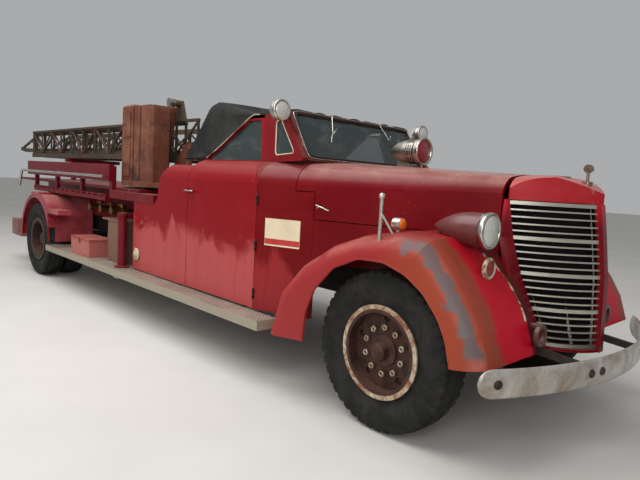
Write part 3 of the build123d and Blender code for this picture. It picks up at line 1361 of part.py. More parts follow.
def hoist_line():
    """Foot, eye, unit direction and length of the hoist cylinder at rest."""
    foot = Vector(HOIST_FOOT[0], -HOIST_AT_Y, HOIST_FOOT[1])
    eye = Vector(ROD_EYE[0], -HOIST_AT_Y, ROD_EYE[1])
    return foot, eye, (eye - foot).normalized(), (eye - foot).length


def truss_side(half, x0, x1, low, top):
    """The right side of a ladder section: side rail, top chord, uprights and diagonals."""
    y0, y1 = -half, -half + CHORD_W
    rail_top = low + SIDE_RAIL_H
    chord = 30
    pieces = [block(x0, x1, y0, y1, low, rail_top),
              block(x0, x1, y0 + 6, y1 - 6, top - chord, top)]
    count = round((x1 - x0) / PITCH)
    step = (x1 - x0 - LATTICE) / count
    y = (y0 + y1) / 2
    for i in range(count + 1):
        x = x0 + LATTICE / 2 + i * step
        pieces.append(block(x - LATTICE / 2, x + LATTICE / 2, y - 11, y + 11,
                            rail_top - 4, top - chord + 4))
        if i < count:
            rise = (x, x + step) if i % 2 else (x + step, x)
            pieces.append(bar((rise[0], y, rail_top - 6), (rise[1], y, top - chord + 6), 18, 20))
    return pieces


def ladder_section(row):
    """Both trussed sides of a section with the rungs between them."""
    _, half, x0, x1, low, top = row
    side = truss_side(half, x0, x1, low, top)
    pieces = side + [flipped(p) for p in side]
    reach = half - CHORD_W + 2
    count = int((x1 - x0 - 160) / RUNG_PITCH)
    for i in range(count + 1):
        x = x0 + 80 + i * RUNG_PITCH
        pieces.append(rod((x, -reach, low + RUNG_R + 2), (x, reach, low + RUNG_R + 2), RUNG_R))
    return pieces


def base_section(row):
    """The base section with its heel plates, hoist bosses and front tube."""
    half, low, top = row[1], row[4], row[5]
    pieces = ladder_section(row)
    heel = block(HEEL_X - 80, HEEL_X + 80, -half, -half + CHORD_W, low, HEEL_Z + 85)
    ex, ez = ROD_EYE
    cheek = side_prism([(ex - 130, top - 20), (ex + 130, top - 20), (ex + 45, ez + 30), (ex - 45, ez + 30)],
                       -half, -half + 28)
    boss = rod((ex, -half, ez), (ex, -HOIST_AT_Y + 41, ez), 38)
    for p in (heel, cheek, boss):
        pieces += both_sides(p)
    bore = rod((HEEL_X, -half - 50, HEEL_Z), (HEEL_X, half + 50, HEEL_Z), HEEL_PIN_R + KING_PIN_GAP)
    return fused(pieces) - bore


def fly_section(row):
    """The top section, whose tip narrows to a point past the others."""
    half, x0, low, top = row[1], row[2], row[4], row[5]
    pieces = ladder_section(row)
    y0, y1 = -half + 8, -half + CHORD_W - 8
    rail_top = low + SIDE_RAIL_H
    tip_low, tip_top = (LADDER_TIP_X + 330, low + 6), (LADDER_TIP_X, 1812)
    rail = side_prism([(x0 + 5, low), (tip_low[0], tip_low[1]), (tip_top[0], tip_top[1] - 60),
                       tip_top, (tip_low[0], rail_top), (x0 + 5, rail_top)], y0, y1)
    slope = side_prism([(x0 + 5, top - 30), (x0 + 5, top), (tip_top[0] + 60, tip_top[1] - 6),
                        (tip_top[0] + 150, tip_top[1] - 24)], y0, y1)
    brace = bar((x0 - 40, (y0 + y1) / 2, rail_top - 8), (LADDER_TIP_X + 630, (y0 + y1) / 2, 1930), 18, 20)
    for p in (rail, slope, brace):
        pieces += both_sides(p)
    for x in (LADDER_TIP_X + 600, LADDER_TIP_X + 280):
        pieces.append(rod((x, y0 + 2, low + 36 if x > -9400 else low + 50),
                          (x, -y0 - 2, low + 36 if x > -9400 else low + 50), RUNG_R))
    tip_bar = (LADDER_TIP_X + 40, tip_top[1] - 32)
    pieces.append(rod((tip_bar[0], y0 + 2, tip_bar[1]), (tip_bar[0], -y0 - 2, tip_bar[1]), 20))
    return fused(pieces)


def turntable():
    """Disc, king post bore, trestles with the heel pins, and the hoist's foot pins."""
    disc = Pos(TURN_X, 0, (DISC_LOW + DISC_TOP) / 2) * Cylinder(DISC_R, DISC_TOP - DISC_LOW)
    disc -= Pos(TURN_X, 0, DISC_LOW) * Cylinder(KING_POST_R + KING_PIN_GAP, 70)
    fx, fz = HOIST_FOOT
    trestle = side_prism([(fx - 200, DISC_TOP - 5), (HEEL_X + 90, DISC_TOP - 5), (HEEL_X + 60, HEEL_Z + 60),
                          (HEEL_X - 60, HEEL_Z + 60), (fx + 60, fz + 80), (fx - 80, fz + 80)],
                         -TRESTLE_Y - TRESTLE_T, -TRESTLE_Y)
    pin = rod((HEEL_X, -TRESTLE_Y - TRESTLE_T - 12, HEEL_Z),
              (HEEL_X, -LADDER_ROWS[0][1] + CHORD_W - 2, HEEL_Z), HEEL_PIN_R)
    foot_pin = rod((fx, -TRESTLE_Y - 2, fz), (fx, -HOIST_AT_Y - 56, fz), HOIST_PIN_R)
    pieces = [disc]
    for p in (trestle, pin, foot_pin):
        pieces += both_sides(p)
    return fused(pieces)


def column():
    """The right-hand column: a panelled box and a round-fronted casing beside it."""
    low, top = DISC_TOP, 2200
    box = block(-4070, -3805, -778, -560, low, top)
    box = chamfer(box.edges().group_by(Axis.Z)[-1], 22)
    panels = [block(-4030, -3850, -790, -776, z0, z1) for z0, z1 in ((1420, 1800), (1850, 2120))]
    casing = plan_prism([(-3807, -560), (-3807, -740), (-3770, -778), (-3440, -778), (-3400, -740),
                         (-3400, -560)], low, top - 25)
    groove = block(-3640, -3610, -800, -765, low + 20, top - 40)
    return fused([box, casing] + panels) - groove


def barrel():
    """The right hoist barrel: foot eye, tube and a notched gland nut at its top."""
    foot, _, run = hoist_line()[:3]
    place = Plane(origin=foot, x_dir=(0, 1, 0), z_dir=run)
    tube = Pos(0, 0, (60 + BARREL_END) / 2) * Cylinder(HOIST_R - 16, BARREL_END - 60)
    gland = Pos(0, 0, BARREL_END - 45) * Cylinder(GLAND_R - 22, 90)
    studs = [Rot(0, 0, a * 45) * Pos(GLAND_R - 24, 0, BARREL_END - 30) * Box(14, 22, 60) for a in range(8)]
    shape = fused([tube, gland] + studs)
    shape -= Pos(0, 0, 130 + BARREL_END / 2) * Cylinder(ROD_R + KING_PIN_GAP, BARREL_END)
    shape = place.location * shape
    lug = rod((foot.X, foot.Y - 48, foot.Z), (foot.X, foot.Y + 48, foot.Z), 48)
    neck = place.location * (Pos(0, 0, 45) * Cylinder(40, 70))
    bore = rod((foot.X, foot.Y - 60, foot.Z), (foot.X, foot.Y + 60, foot.Z), HOIST_PIN_R + KING_PIN_GAP)
    return fused([shape, lug, neck]) - bore


def hoist_rod():
    """The right hoist rod with its eye beside the ladder's boss."""
    foot, eye, run = hoist_line()[:3]
    start = foot + run * 300
    shaft = rod(start, eye - run * (ROD_EYE_R - 12), ROD_R)
    ring = rod((eye.X, eye.Y - 35, eye.Z), (eye.X, eye.Y + 35, eye.Z), ROD_EYE_R)
    return fused([shaft, ring])


base_row, mid_row, fly_row = LADDER_ROWS
write("turntable", turntable())
write("columns", both_sides(column()))
write("ladder_base", base_section(base_row))
write("ladder_mid", fused(ladder_section(mid_row)))
write("ladder_fly", fly_section(fly_row))
write("hoist_barrels", both_sides(barrel()))
write("hoist_rods", both_sides(hoist_rod()))
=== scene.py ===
# %% [markdown]
# # Dressing a vintage ladder engine
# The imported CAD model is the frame. Everything added here is a surface worked out with numpy,
# in metres, in the same frame: X forward, Y to the driver's left, Z up from the ground.

# %% Load the frame
from functools import partial
import bpy
import bmesh
import numpy as np
from mathutils import Vector, Matrix


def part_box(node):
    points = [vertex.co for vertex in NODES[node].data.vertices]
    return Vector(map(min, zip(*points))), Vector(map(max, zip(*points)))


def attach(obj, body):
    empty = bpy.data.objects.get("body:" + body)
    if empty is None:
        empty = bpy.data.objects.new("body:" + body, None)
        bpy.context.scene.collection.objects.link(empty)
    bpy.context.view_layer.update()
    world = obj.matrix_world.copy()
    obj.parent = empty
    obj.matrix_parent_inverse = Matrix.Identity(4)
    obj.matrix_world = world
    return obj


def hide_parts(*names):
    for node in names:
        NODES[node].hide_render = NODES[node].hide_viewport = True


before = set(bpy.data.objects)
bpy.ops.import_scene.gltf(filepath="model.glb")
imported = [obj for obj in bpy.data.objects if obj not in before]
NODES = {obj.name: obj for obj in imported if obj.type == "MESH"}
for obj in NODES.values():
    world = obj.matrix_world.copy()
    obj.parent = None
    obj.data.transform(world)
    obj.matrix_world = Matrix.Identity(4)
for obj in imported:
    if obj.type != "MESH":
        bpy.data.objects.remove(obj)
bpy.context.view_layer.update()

SIDES = (("right", -1), ("left", 1))

# %% [markdown]
# ## Where things are
# The vehicle was measured from its front axle. One shift brings those lengths into the frame.
# The wheels' own boxes say where the axles stand, so the shift is read and not typed.

# %% Reference lines
def middle(node):
    """The middle of a node's box."""
    return [(low + high) / 2 for low, high in zip(*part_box(node))]

FRONT_X, _, AXLE_Z = middle("front_tyre_right")
REAR_X = middle("rear_tyres_right")[0]

def at(x, y, z):
    """A point measured from the front axle, as a point of the frame."""
    return np.array([x + FRONT_X, y, z])

SHIFT = at(0, 0, 0)
print("front axle", FRONT_X, "rear axle", REAR_X)

# %% [markdown]
# ## Making surfaces
# Nearly every rounded piece is a grid of points. The two directions of the grid are the two
# parameters of its formula, so whole arrays give all the points at once and no loop is needed.

# %% Grid surface
def lay_grid(name, points, ring=False, tube=False):
    """A mesh of quads from an array of rows x columns x 3. ring joins the last row to the first,
    tube joins the last column to the first."""
    rows, cols = points.shape[:2]
    index = np.arange(rows * cols).reshape(rows, cols)
    a = index if ring else index[:-1]
    b = np.roll(index, -1, 0) if ring else index[1:]
    if tube:
        quads = [a, np.roll(a, -1, 1), np.roll(b, -1, 1), b]
    else:
        quads = [a[:, :-1], a[:, 1:], b[:, 1:], b[:, :-1]]
    corners = np.stack([q.reshape(-1) for q in quads], 1)
    return put_polygons(name, points.reshape(-1, 3), corners.reshape(-1), np.full(len(corners), 4))

def put_polygons(name, points, corners, counts, smooth=True):
    """A mesh object from arrays: its points, the corners of all faces end to end, and the number
    of corners that each face has."""
    mesh = bpy.data.meshes.new(name)
    mesh.vertices.add(len(points))
    mesh.vertices.foreach_set("co", np.asarray(points, float).reshape(-1))
    mesh.loops.add(len(corners))
    mesh.loops.foreach_set("vertex_index", corners.astype(np.int32))
    mesh.polygons.add(len(counts))
    mesh.polygons.foreach_set("loop_start", (np.cumsum(counts) - counts).astype(np.int32))
    mesh.polygons.foreach_set("use_smooth", np.full(len(counts), smooth))
    mesh.update(calc_edges=True)
    mesh.validate()
    thing = bpy.data.objects.new(name, mesh)
    bpy.context.scene.collection.objects.link(thing)
    return thing

SAME_POINT = 1e-5

def square_up(piece):
    """Merges doubled points and turns every face outwards."""
    work = bmesh.new()
    work.from_mesh(piece.data)
    bmesh.ops.remove_doubles(work, verts=work.verts, dist=SAME_POINT)
    bmesh.ops.recalc_face_normals(work, faces=work.faces)
    work.to_mesh(piece.data)
    work.free()
    piece.data.update()
    return piece

def dress(piece, material, slot, *stands_for, body="vehicle"):
    """Gives a piece its finish and its body, and hides the CAD nodes that it stands for."""
    piece.data.materials.clear()
    piece.data.materials.append(material)
    if stands_for:
        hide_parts(*stands_for)
    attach(piece, body)
    print(piece.name, len(piece.data.polygons), "faces on", body)
    return piece

# %% [markdown]
# ## Turned and swept pieces
# A lamp ring, a tyre or a lens is turned: one outline of (height, radius) points goes round an
# axis. A pipe or a seal is swept: a small ring is carried along a line of points.

# %% Turned and swept
PIN_POINT = 1e-4

def full_turn(count):
    """Angles at even steps round a circle."""
    return np.linspace(0, 2 * np.pi, count, endpoint=False)

def bend(value, power):
    """A power that keeps the sign, which makes an ellipse squarer when it is below 1."""
    return np.sign(value) * np.abs(value) ** power

def frame_of(axis):
    """The axis as a unit vector, and two more that are square to it."""
    axis = np.array(axis, float) / np.linalg.norm(axis)
    other = np.array([0, 0, 1.0]) if abs(axis[2]) < 0.9 else np.array([1.0, 0, 0])
    u = np.cross(other, axis)
    u /= np.linalg.norm(u)
    return axis, u, np.cross(axis, u)

def turn(name, outline, centre, axis, count=64, join=False):
    """Point = centre + h axis + r (cos a u + sin a v), for each (h, r) of the outline and each
    angle a. join closes the outline on itself."""
    axis, u, v = frame_of(axis)
    outline = np.array(outline, float)
    a = full_turn(count)
    ring = np.cos(a)[:, None] * u + np.sin(a)[:, None] * v
    points = (np.array(centre) + outline[:, 0, None, None] * axis
              + outline[:, 1, None, None] * ring[None])
    return square_up(lay_grid(name, points, ring=join, tube=True))

def sweep(name, path, radius, sides=10, flat=1.0, closed=False):
    """Point = path + radius (cos a u + flat sin a v), with u and v square to the path. An open
    sweep ends in a tiny ring, so that it reads as capped."""
    path = np.array(path, float)
    run = np.roll(path, -1, 0) - np.roll(path, 1, 0) if closed else np.gradient(path, axis=0)
    run /= np.linalg.norm(run, axis=1)[:, None]
    up = np.array([0, 0, 1.0]) if np.abs(run[:, 2]).max() < 0.95 else np.array([0.1, 1.0, 0])
    u = np.cross(up, run)
    u /= np.linalg.norm(u, axis=1)[:, None]
    v = np.cross(run, u)
    a = full_turn(sides)
    r = np.broadcast_to(np.asarray(radius, float), (len(path),))
    if not closed:
        path, u, v = (np.concatenate([row[:1], row, row[-1:]]) for row in (path, u, v))
        r = np.concatenate([[PIN_POINT], r, [PIN_POINT]])
    points = path[:, None] + r[:, None, None] * (np.cos(a)[None, :, None] * u[:, None]
                                                + flat * np.sin(a)[None, :, None] * v[:, None])
    return square_up(lay_grid(name, points, ring=closed, tube=True))

def curve_through(points, count=40):
    """Catmull-Rom points: each span is a cubic whose slope at a point is half the step between
    that point's neighbours."""
    p = np.array(points, float)
    p = np.concatenate([2 * p[:1] - p[1:2], p, 2 * p[-1:] - p[-2:-1]])
    t = np.linspace(0, len(p) - 3 - 1e-9, count)
    i = t.astype(int)
    f = (t - i)[:, None]
    a, b, c, d = p[i], p[i + 1], p[i + 2], p[i + 3]
    return 0.5 * (2 * b + (c - a) * f + (2 * a - 5 * b + 4 * c - d) * f ** 2
                  + (3 * b - a - 3 * c + d) * f ** 3)

def read_out(things, word, width=1, kind=np.int32):
    """One value of every point, corner or face of a mesh, as an array."""
    values = np.empty(len(things) * width, dtype=kind)
    things.foreach_get(word, values)
    return values

def merge(name, pieces):
    """One mesh out of several: their arrays joined end to end, with each piece's corner numbers
    moved up by the points before it."""
    points, corners, counts, start = [], [], [], 0
    for piece in pieces:
        mesh = piece.data
        points.append(read_out(mesh.vertices, "co", 3, float).reshape(-1, 3))
        corners.append(read_out(mesh.loops, "vertex_index") + start)
        counts.append(read_out(mesh.polygons, "loop_total"))
        start += len(mesh.vertices)
        bpy.data.objects.remove(piece)
    return put_polygons(name, *(np.concatenate(rows) for rows in (points, corners, counts)))

# %% [markdown]
# ## Flat pieces
# Signs, panes and irons are flat-sided: the same corners at a near and at a far face.

# %% Flat pieces
def plate(name, near, far):
    """A flat piece between two faces, each given by its corners in order round the edge."""
    count = len(near)
    ring = np.arange(count)
    after = np.roll(ring, -1)
    walls = np.stack([ring, after, after + count, ring + count], 1)
    corners = np.concatenate([walls.reshape(-1), ring[::-1], ring + count])
    counts = np.array([4] * count + [count] * 2)
    return square_up(put_polygons(name, np.concatenate([near, far]), corners, counts, smooth=False))

def soften(piece, width=0.002):
    """A bevel on sharp edges, for flat-sided pieces."""
    bevel = piece.modifiers.new("edge", "BEVEL")
    bevel.width, bevel.segments, bevel.limit_method = width, 2, "ANGLE"
    return piece

# %% [markdown]
# ## Finishes
# Each finish is one node tree on Object coordinates. Old paint is built up as it is on the real
# vehicle: a base colour, patches where sun and polish have faded it, bare spots where it wore
# through, fine scratches, and dust that settles on faces that look up. On the hood and the rear
# fenders that pale top is strong enough to be a painted highlight as well, and the nose's brighter
# crown above a set height is a painted highlight.

# %% Node helpers
def start_finish(name):
    """A new material, its shader and the Object coordinates."""
    mat = bpy.data.materials.new(name)
    mat.use_nodes = True
    tree = mat.node_tree
    tree.nodes.clear()
    out = tree.nodes.new("ShaderNodeOutputMaterial")
    shader = tree.nodes.new("ShaderNodeBsdfPrincipled")
    tree.links.new(shader.outputs[0], out.inputs[0])
    return mat, shader, tree.nodes.new("ShaderNodeTexCoord").outputs["Object"]

def connect(value, socket):
    """A number or a colour is set on the socket itself, and a node's output is linked to it."""
    if isinstance(value, (int, float)):
        socket.default_value = value
    elif isinstance(value, tuple):
        socket.default_value = value + (1.0,)
    else:
        socket.id_data.links.new(value, socket)

def feed(node, **inputs):
    """Sets or links inputs of a node. Each word names an input, with _ for a space."""
    for word, value in inputs.items():
        connect(value, node.inputs[word.replace("_", " ")])
    return node

def add_node(kind, beside, **inputs):
    """A new node in the tree of beside, which is a node or a socket."""
    return feed(beside.id_data.nodes.new("ShaderNode" + kind), **inputs)

def stretch(vector, scale=(1, 1, 1), shift=(0, 0, 0), turned=0.0):
    """The coordinates scaled, moved and turned about Z, which shapes and centres a pattern."""
    node = add_node("Mapping", vector, Vector=vector)
    for word, value in (("Scale", scale), ("Location", shift), ("Rotation", (0, 0, turned))):
        node.inputs[word].default_value = value
    return node.outputs[0]

def clouds(vector, scale, detail=4.0, rough=0.6, warp=0.0):
    """Noise from 0 to 1."""
    return add_node("TexNoise", vector, Vector=vector, Scale=scale, Detail=detail, Roughness=rough,
                    Distortion=warp).outputs["Fac"]

def waves(vector, scale, direction="X"):
    """Straight bands across one direction."""
    node = add_node("TexWave", vector, Vector=vector, Scale=scale)
    node.bands_direction = direction
    return node.outputs["Fac"]

def step(value, low, high, top=1.0):
    """0 below low, top above high, and a straight slope between."""
    return add_node("MapRange", value, Value=value, From_Min=low, From_Max=high, To_Max=top).outputs[0]

def maths(kind, a, b=0):
    """One operation on two values, either of which may be a number."""
    node = add_node("Math", b if isinstance(a, (int, float)) else a)
    node.operation = kind
    connect(a, node.inputs[0])
    connect(b, node.inputs[1])
    return node.outputs[0]

plus, minus, times = (partial(maths, kind) for kind in ("ADD", "SUBTRACT", "MULTIPLY"))

def blend_in(share, under, over):
    """Colour under, with over laid on it by the share."""
    node = add_node("Mix", share)
    node.data_type = "RGBA"
    for value, place in ((share, "Factor"), (under, 6), (over, 7)):
        connect(value, node.inputs[place])
    return node.outputs[2]

def parts_of(vector):
    """The X, Y and Z of a vector."""
    return add_node("SeparateXYZ", vector, Vector=vector).outputs

def facing_up(beside):
    """How far a face looks up, from the vertical part of its normal."""
    return parts_of(add_node("NewGeometry", beside).outputs["Normal"])[2]

def roughen(shader, value, strength, distance=0.002):
    """Small bumps that are only seen, not modelled."""
    bump = add_node("Bump", shader, Height=value, Strength=strength, Distance=distance)
    connect(bump.outputs[0], shader.inputs["Normal"])

def rgb(r, g, b):
    """Screen values from 0 to 255 as the linear values that a shader takes."""
    c = np.array([r, g, b]) / 255
    return tuple(float(v) for v in np.where(c < 0.04045, c / 12.92, ((c + 0.055) / 1.055) ** 2.4))

# %% Old paint
DULL_SHINE = 0.16
UNDERCOAT, DUST_AND_SHEEN = rgb(150, 92, 80), rgb(178, 136, 124)

def old_paint(name, base, faded, bare=UNDERCOAT, fade=(0.45, 0.75), worn=(0.70, 0.76), gloss=0.32,
              dust_and_sheen=0.35, streak=0.25, coat=0.08, tone_below=None):
    """Paint = base, faded in clouds, darker in drips, bare where it wore, dusty on top, where a large
    dust_and_sheen also paints a highlight. tone_below is (height, colour, raggedness): below about
    that height the paint has another colour."""
    mat, shader, place = start_finish(name)
    fading = clouds(stretch(place, (1, 1, 1.6)), 1.7, 5, 0.62, 0.6)
    colour = blend_in(step(fading, *fade, 0.85), base, faded)
    # Below the tone_below height the paint turns to another colour: real fading on the sides and cowl, and
    # on the nose a darker red under the painted highlight of its crown.
    if tone_below:
        height, colour_below, ragged = tone_below
        edge = times(clouds(stretch(place, (1, 1, 0.7)), 2.1, 6, 0.6, 1.0), ragged)
        depth = minus(plus(edge, height - ragged / 2), parts_of(place)[2])
        colour = blend_in(step(depth, -0.02, 0.10, 0.9), colour, colour_below)
    drips = clouds(stretch(place, (9, 9, 0.8)), 2.2, 4, 0.6)
    colour = blend_in(step(drips, 0.5, 0.8, streak), colour, tuple(0.45 * c for c in base))
    fine = clouds(place, 26, 6, 0.72, 0.4)
    patch = clouds(place, 3.1, 5, 0.66, 1.2)
    wear = step(plus(times(fine, 0.35), times(patch, 0.75)), *worn)
    colour = blend_in(wear, colour, bare)
    scratch = clouds(stretch(place, (3, 3, 60)), 5, 3, 0.5, 0.2)
    colour = blend_in(step(scratch, 0.69, 0.74, 0.35), colour, faded)
    # Pale dust on faces that look up; with a large dust_and_sheen, as on the hood and rear fenders, it is
    # also a painted highlight on their tops.
    top = times(step(facing_up(place), 0.35, 1.0, dust_and_sheen), step(clouds(place, 5, 5, 0.7), 0.1, 0.7))
    rough = plus(plus(times(fine, 0.22), gloss - 0.1), times(wear, 0.25))
    feed(shader, Base_Color=blend_in(top, colour, DUST_AND_SHEEN), Roughness=rough, Specular_IOR_Level=DULL_SHINE,
         Coat_Weight=coat, Coat_Roughness=0.22)
    roughen(shader, plus(times(fine, 0.5), times(wear, -0.6)), 0.14, 0.0015)
    return mat

RED = old_paint("deep red paint", rgb(136, 0, 16), rgb(150, 18, 34), dust_and_sheen=0.25)
SIDE_RED = old_paint("bleached side paint", rgb(128, 0, 14), rgb(138, 18, 30), dust_and_sheen=0.25,
                     fade=(0.5, 0.8), tone_below=(1.02, rgb(174, 72, 72), 0.9))
COWL_RED = old_paint("cowl side paint", rgb(106, 0, 8), rgb(126, 20, 24), dust_and_sheen=0.25,
                     tone_below=(0.86, rgb(146, 38, 42), 0.9))
# The hood's pale top, with dust_and_sheen at 0.85, is dust and a painted highlight along its shoulder.
HOOD_RED = old_paint("sun-faded hood paint", rgb(108, 0, 10), rgb(126, 16, 24), rgb(160, 118, 104),
                     dust_and_sheen=0.85)
# The nose's bright base shows only above about 1.40 m: a painted highlight on its rounded crown, with the
# darker red below.
NOSE_RED = old_paint("nose paint", rgb(170, 18, 32), rgb(176, 58, 60), rgb(160, 118, 104), dust_and_sheen=0.6,
                     tone_below=(1.40, rgb(96, 0, 12), 0.12))
# On the rear fenders the pale faded clouds, their wide share and the strong dust_and_sheen paint a glossy
# highlight as well as real fading and dust.
REAR_RED = old_paint("rear fender paint", rgb(124, 8, 26), rgb(166, 74, 82), fade=(0.3, 0.6),
                     coat=0.5, dust_and_sheen=0.6)
MAROON = old_paint("dull maroon paint", rgb(98, 8, 20), rgb(118, 36, 40), rgb(120, 90, 80),
                   worn=(0.66, 0.72), gloss=0.45, coat=0.1)
PINK = old_paint("bleached chest paint", rgb(150, 62, 58), rgb(176, 112, 100), rgb(120, 92, 84),
                 worn=(0.62, 0.70), gloss=0.5, coat=0.0)
PRIMER = old_paint("brown primer", rgb(104, 60, 46), rgb(142, 98, 76), rgb(76, 52, 46),
                   worn=(0.58, 0.66), gloss=0.55, streak=0.6, coat=0.0)
BLACK = old_paint("chassis black", rgb(30, 27, 26), rgb(46, 40, 37), rgb(82, 52, 40),
                  worn=(0.62, 0.72), gloss=0.6, coat=0.0, dust_and_sheen=0.2)
SEAM_BROWN = old_paint("windscreen frame paint", rgb(88, 36, 34), rgb(112, 66, 58), rgb(150, 120, 100),
                       worn=(0.60, 0.68), gloss=0.5, coat=0.0)
LADDER = old_paint("aged ladder steel", rgb(70, 60, 48), rgb(92, 82, 66), rgb(88, 52, 36),
                   worn=(0.58, 0.68), gloss=0.5, streak=0.4, coat=0.0)
CREAM = old_paint("rusty cream rim paint", rgb(196, 184, 160), rgb(176, 150, 122), rgb(112, 62, 40),
                  worn=(0.55, 0.62), gloss=0.5, streak=0.5, coat=0.0, dust_and_sheen=0.1)

# %% Fender paint
ROLLED_EDGE_Y, BAND_Y, BAND_HALF = 1.045, 1.084, 0.046

def fender_paint():
    """The colour follows the place: dark red inside the welt, bright red beside it, orange on the
    outer front with a grey band on the shoulder, a painted highlight along the rolled edge, and
    bleached towards the tail."""
    mat, shader, place = start_finish("worn fender paint")
    x, y, z = parts_of(stretch(place, shift=(-FRONT_X, 0, 0)))
    out = maths("ABSOLUTE", y)
    cloud = clouds(place, 2.6, 6, 0.64, 0.9)
    fine = clouds(place, 22, 6, 0.7, 0.5)
    rough = plus(times(cloud, 0.24), times(fine, 0.08))
    inside = plus(out, times(maths("MINIMUM", x, 0.54), 0.66))
    colour = blend_in(step(inside, 0.885, 0.905), rgb(76, 0, 10), rgb(196, 0, 36))
    outer = plus(out, minus(rough, 0.16))
    colour = blend_in(step(outer, 0.84, 0.90), colour, rgb(148, 64, 44))
    tail = minus(times(rough, 0.6), x)
    colour = blend_in(step(tail, -0.25, 0.10, 0.9), colour, rgb(146, 38, 42))
    # A pale band along the rolled edge, broken up by clouds: a painted highlight on the roll.
    from_edge = maths("ABSOLUTE", minus(out, ROLLED_EDGE_Y))
    pale = times(step(from_edge, 0.045, 0.015), step(cloud, 0.40, 0.62, 0.6))
    colour = blend_in(pale, colour, rgb(196, 118, 104))
    from_band = maths("ABSOLUTE", minus(plus(out, times(cloud, 0.06)), BAND_Y))
    ragged = plus(clouds(stretch(place, (1, 1, 0.5)), 6, 6, 0.62, 0.6), times(fine, 0.6))
    worn = minus(times(ragged, 0.09), plus(from_band, BAND_HALF))
    front_and_high = times(step(x, 0.14, 0.20), step(z, 0.62, 0.66))
    patch = times(step(worn, 0.0, 0.004), front_and_high)
    colour = blend_in(patch, colour, rgb(104, 90, 90))
    colour = blend_in(step(fine, 0.66, 0.70, 0.5), colour, rgb(112, 62, 44))
    colour = blend_in(step(facing_up(place), 0.3, 1.0, 0.5), colour, rgb(118, 48, 46))
    feed(shader, Base_Color=colour, Roughness=plus(times(fine, 0.2), 0.30), Specular_IOR_Level=DULL_SHINE)
    roughen(shader, minus(times(fine, 0.5), patch), 0.2, 0.0015)
    return mat

FENDER_RED = fender_paint()
print("paints made")

# %% [markdown]
# ## Metals, rubber and cloth
# Bare metal shows its age in its roughness more than in its colour: dull clouds and fine lines
# break up the reflection. Rubber and canvas are the opposite, dark and matt with a dusty bloom.

# %% Metals and rubber
def old_metal(name, bright, dull, rough=(0.18, 0.5), grain=(1, 1, 1), spots=0.35, metal=1.0):
    """Metal whose colour and roughness follow one cloud, with rust or dirt spots."""
    mat, shader, place = start_finish(name)
    cloud = clouds(stretch(place, grain), 9, 6, 0.65, 0.5)
    colour = blend_in(step(cloud, 0.35, 0.7), bright, dull)
    spot = step(clouds(place, 34, 5, 0.7), 0.62, 0.7, spots)
    feed(shader, Base_Color=blend_in(spot, colour, rgb(98, 66, 46)), Metallic=metal,
         Roughness=plus(step(cloud, 0.3, 0.7, rough[1] - rough[0]), rough[0]))
    lines = clouds(stretch(place, tuple(3 * share for share in grain)), 40, 3, 0.6)
    roughen(shader, lines, 0.12, 0.001)
    return mat

CHROME = old_metal("dulled chrome", rgb(208, 205, 198), rgb(160, 154, 144), (0.12, 0.42))
BUMPER = old_metal("scuffed bumper steel", rgb(196, 194, 188), rgb(140, 122, 104), (0.22, 0.46),
                   (0.7, 0.7, 0.7), spots=0.55, metal=0.5)
BRUSHED = old_metal("brushed siren metal", rgb(176, 170, 160), rgb(128, 120, 110), (0.25, 0.5), (9, 1, 1))
GRILLE = old_metal("silvered grille", rgb(214, 210, 200), rgb(176, 168, 156), (0.25, 0.5), (1, 1, 6), 0.3)
BRASS = old_metal("tarnished brass", rgb(150, 116, 62), rgb(96, 76, 48), (0.3, 0.6), spots=0.5)
IRON = old_metal("oily iron", rgb(70, 62, 56), rgb(44, 38, 34), (0.4, 0.7), spots=0.8, metal=0.6)
NUTS = old_metal("worn wheel nuts", rgb(176, 160, 140), rgb(124, 98, 80), (0.35, 0.6), spots=0.6, metal=0.8)
AMBER = old_metal("amber lens", rgb(232, 120, 30), rgb(196, 84, 14), (0.15, 0.3), spots=0.0, metal=0.0)

def matt(name, base, bloom, rough=0.8, scale=8, bump=0.3, size=120, shine=0.4):
    """A matt stuff with a dusty bloom and a fine grain."""
    mat, shader, place = start_finish(name)
    cloud = clouds(place, scale, 6, 0.65, 0.4)
    share = plus(step(cloud, 0.42, 0.75, 0.6), step(facing_up(place), 0.2, 1.0, 0.4))
    feed(shader, Base_Color=blend_in(share, base, bloom), Roughness=rough, Specular_IOR_Level=shine)
    roughen(shader, clouds(place, size, 3, 0.6), bump, 0.001)
    return mat

TYRE = matt("tyre rubber", rgb(22, 22, 21), rgb(58, 56, 50), 0.78, shine=0.25)
TAIL_STEEL = matt("weathered tail steel", rgb(124, 84, 76), rgb(160, 128, 116), 0.6, 6, 0.3, 50)
SEAL = matt("hardened seal rubber", rgb(26, 25, 25), rgb(50, 46, 42), 0.7)
HIDE = matt("cracked seat hide", rgb(52, 34, 28), rgb(84, 62, 50), 0.5, 14, 0.5, 60)
# Near black with almost no shine: the radiator's own black and painted shade behind the grille bars.
CORE_AND_SHADE = matt("radiator core", rgb(8, 7, 7), rgb(22, 19, 17), 0.8, 20, 0.6, 200, shine=0.08)
WHITE = matt("faded white enamel", rgb(226, 210, 176), rgb(196, 176, 150), 0.5, 6, 0.1)
SIGN_RED = matt("sign red enamel", rgb(176, 40, 40), rgb(190, 90, 84), 0.5, 9, 0.1)

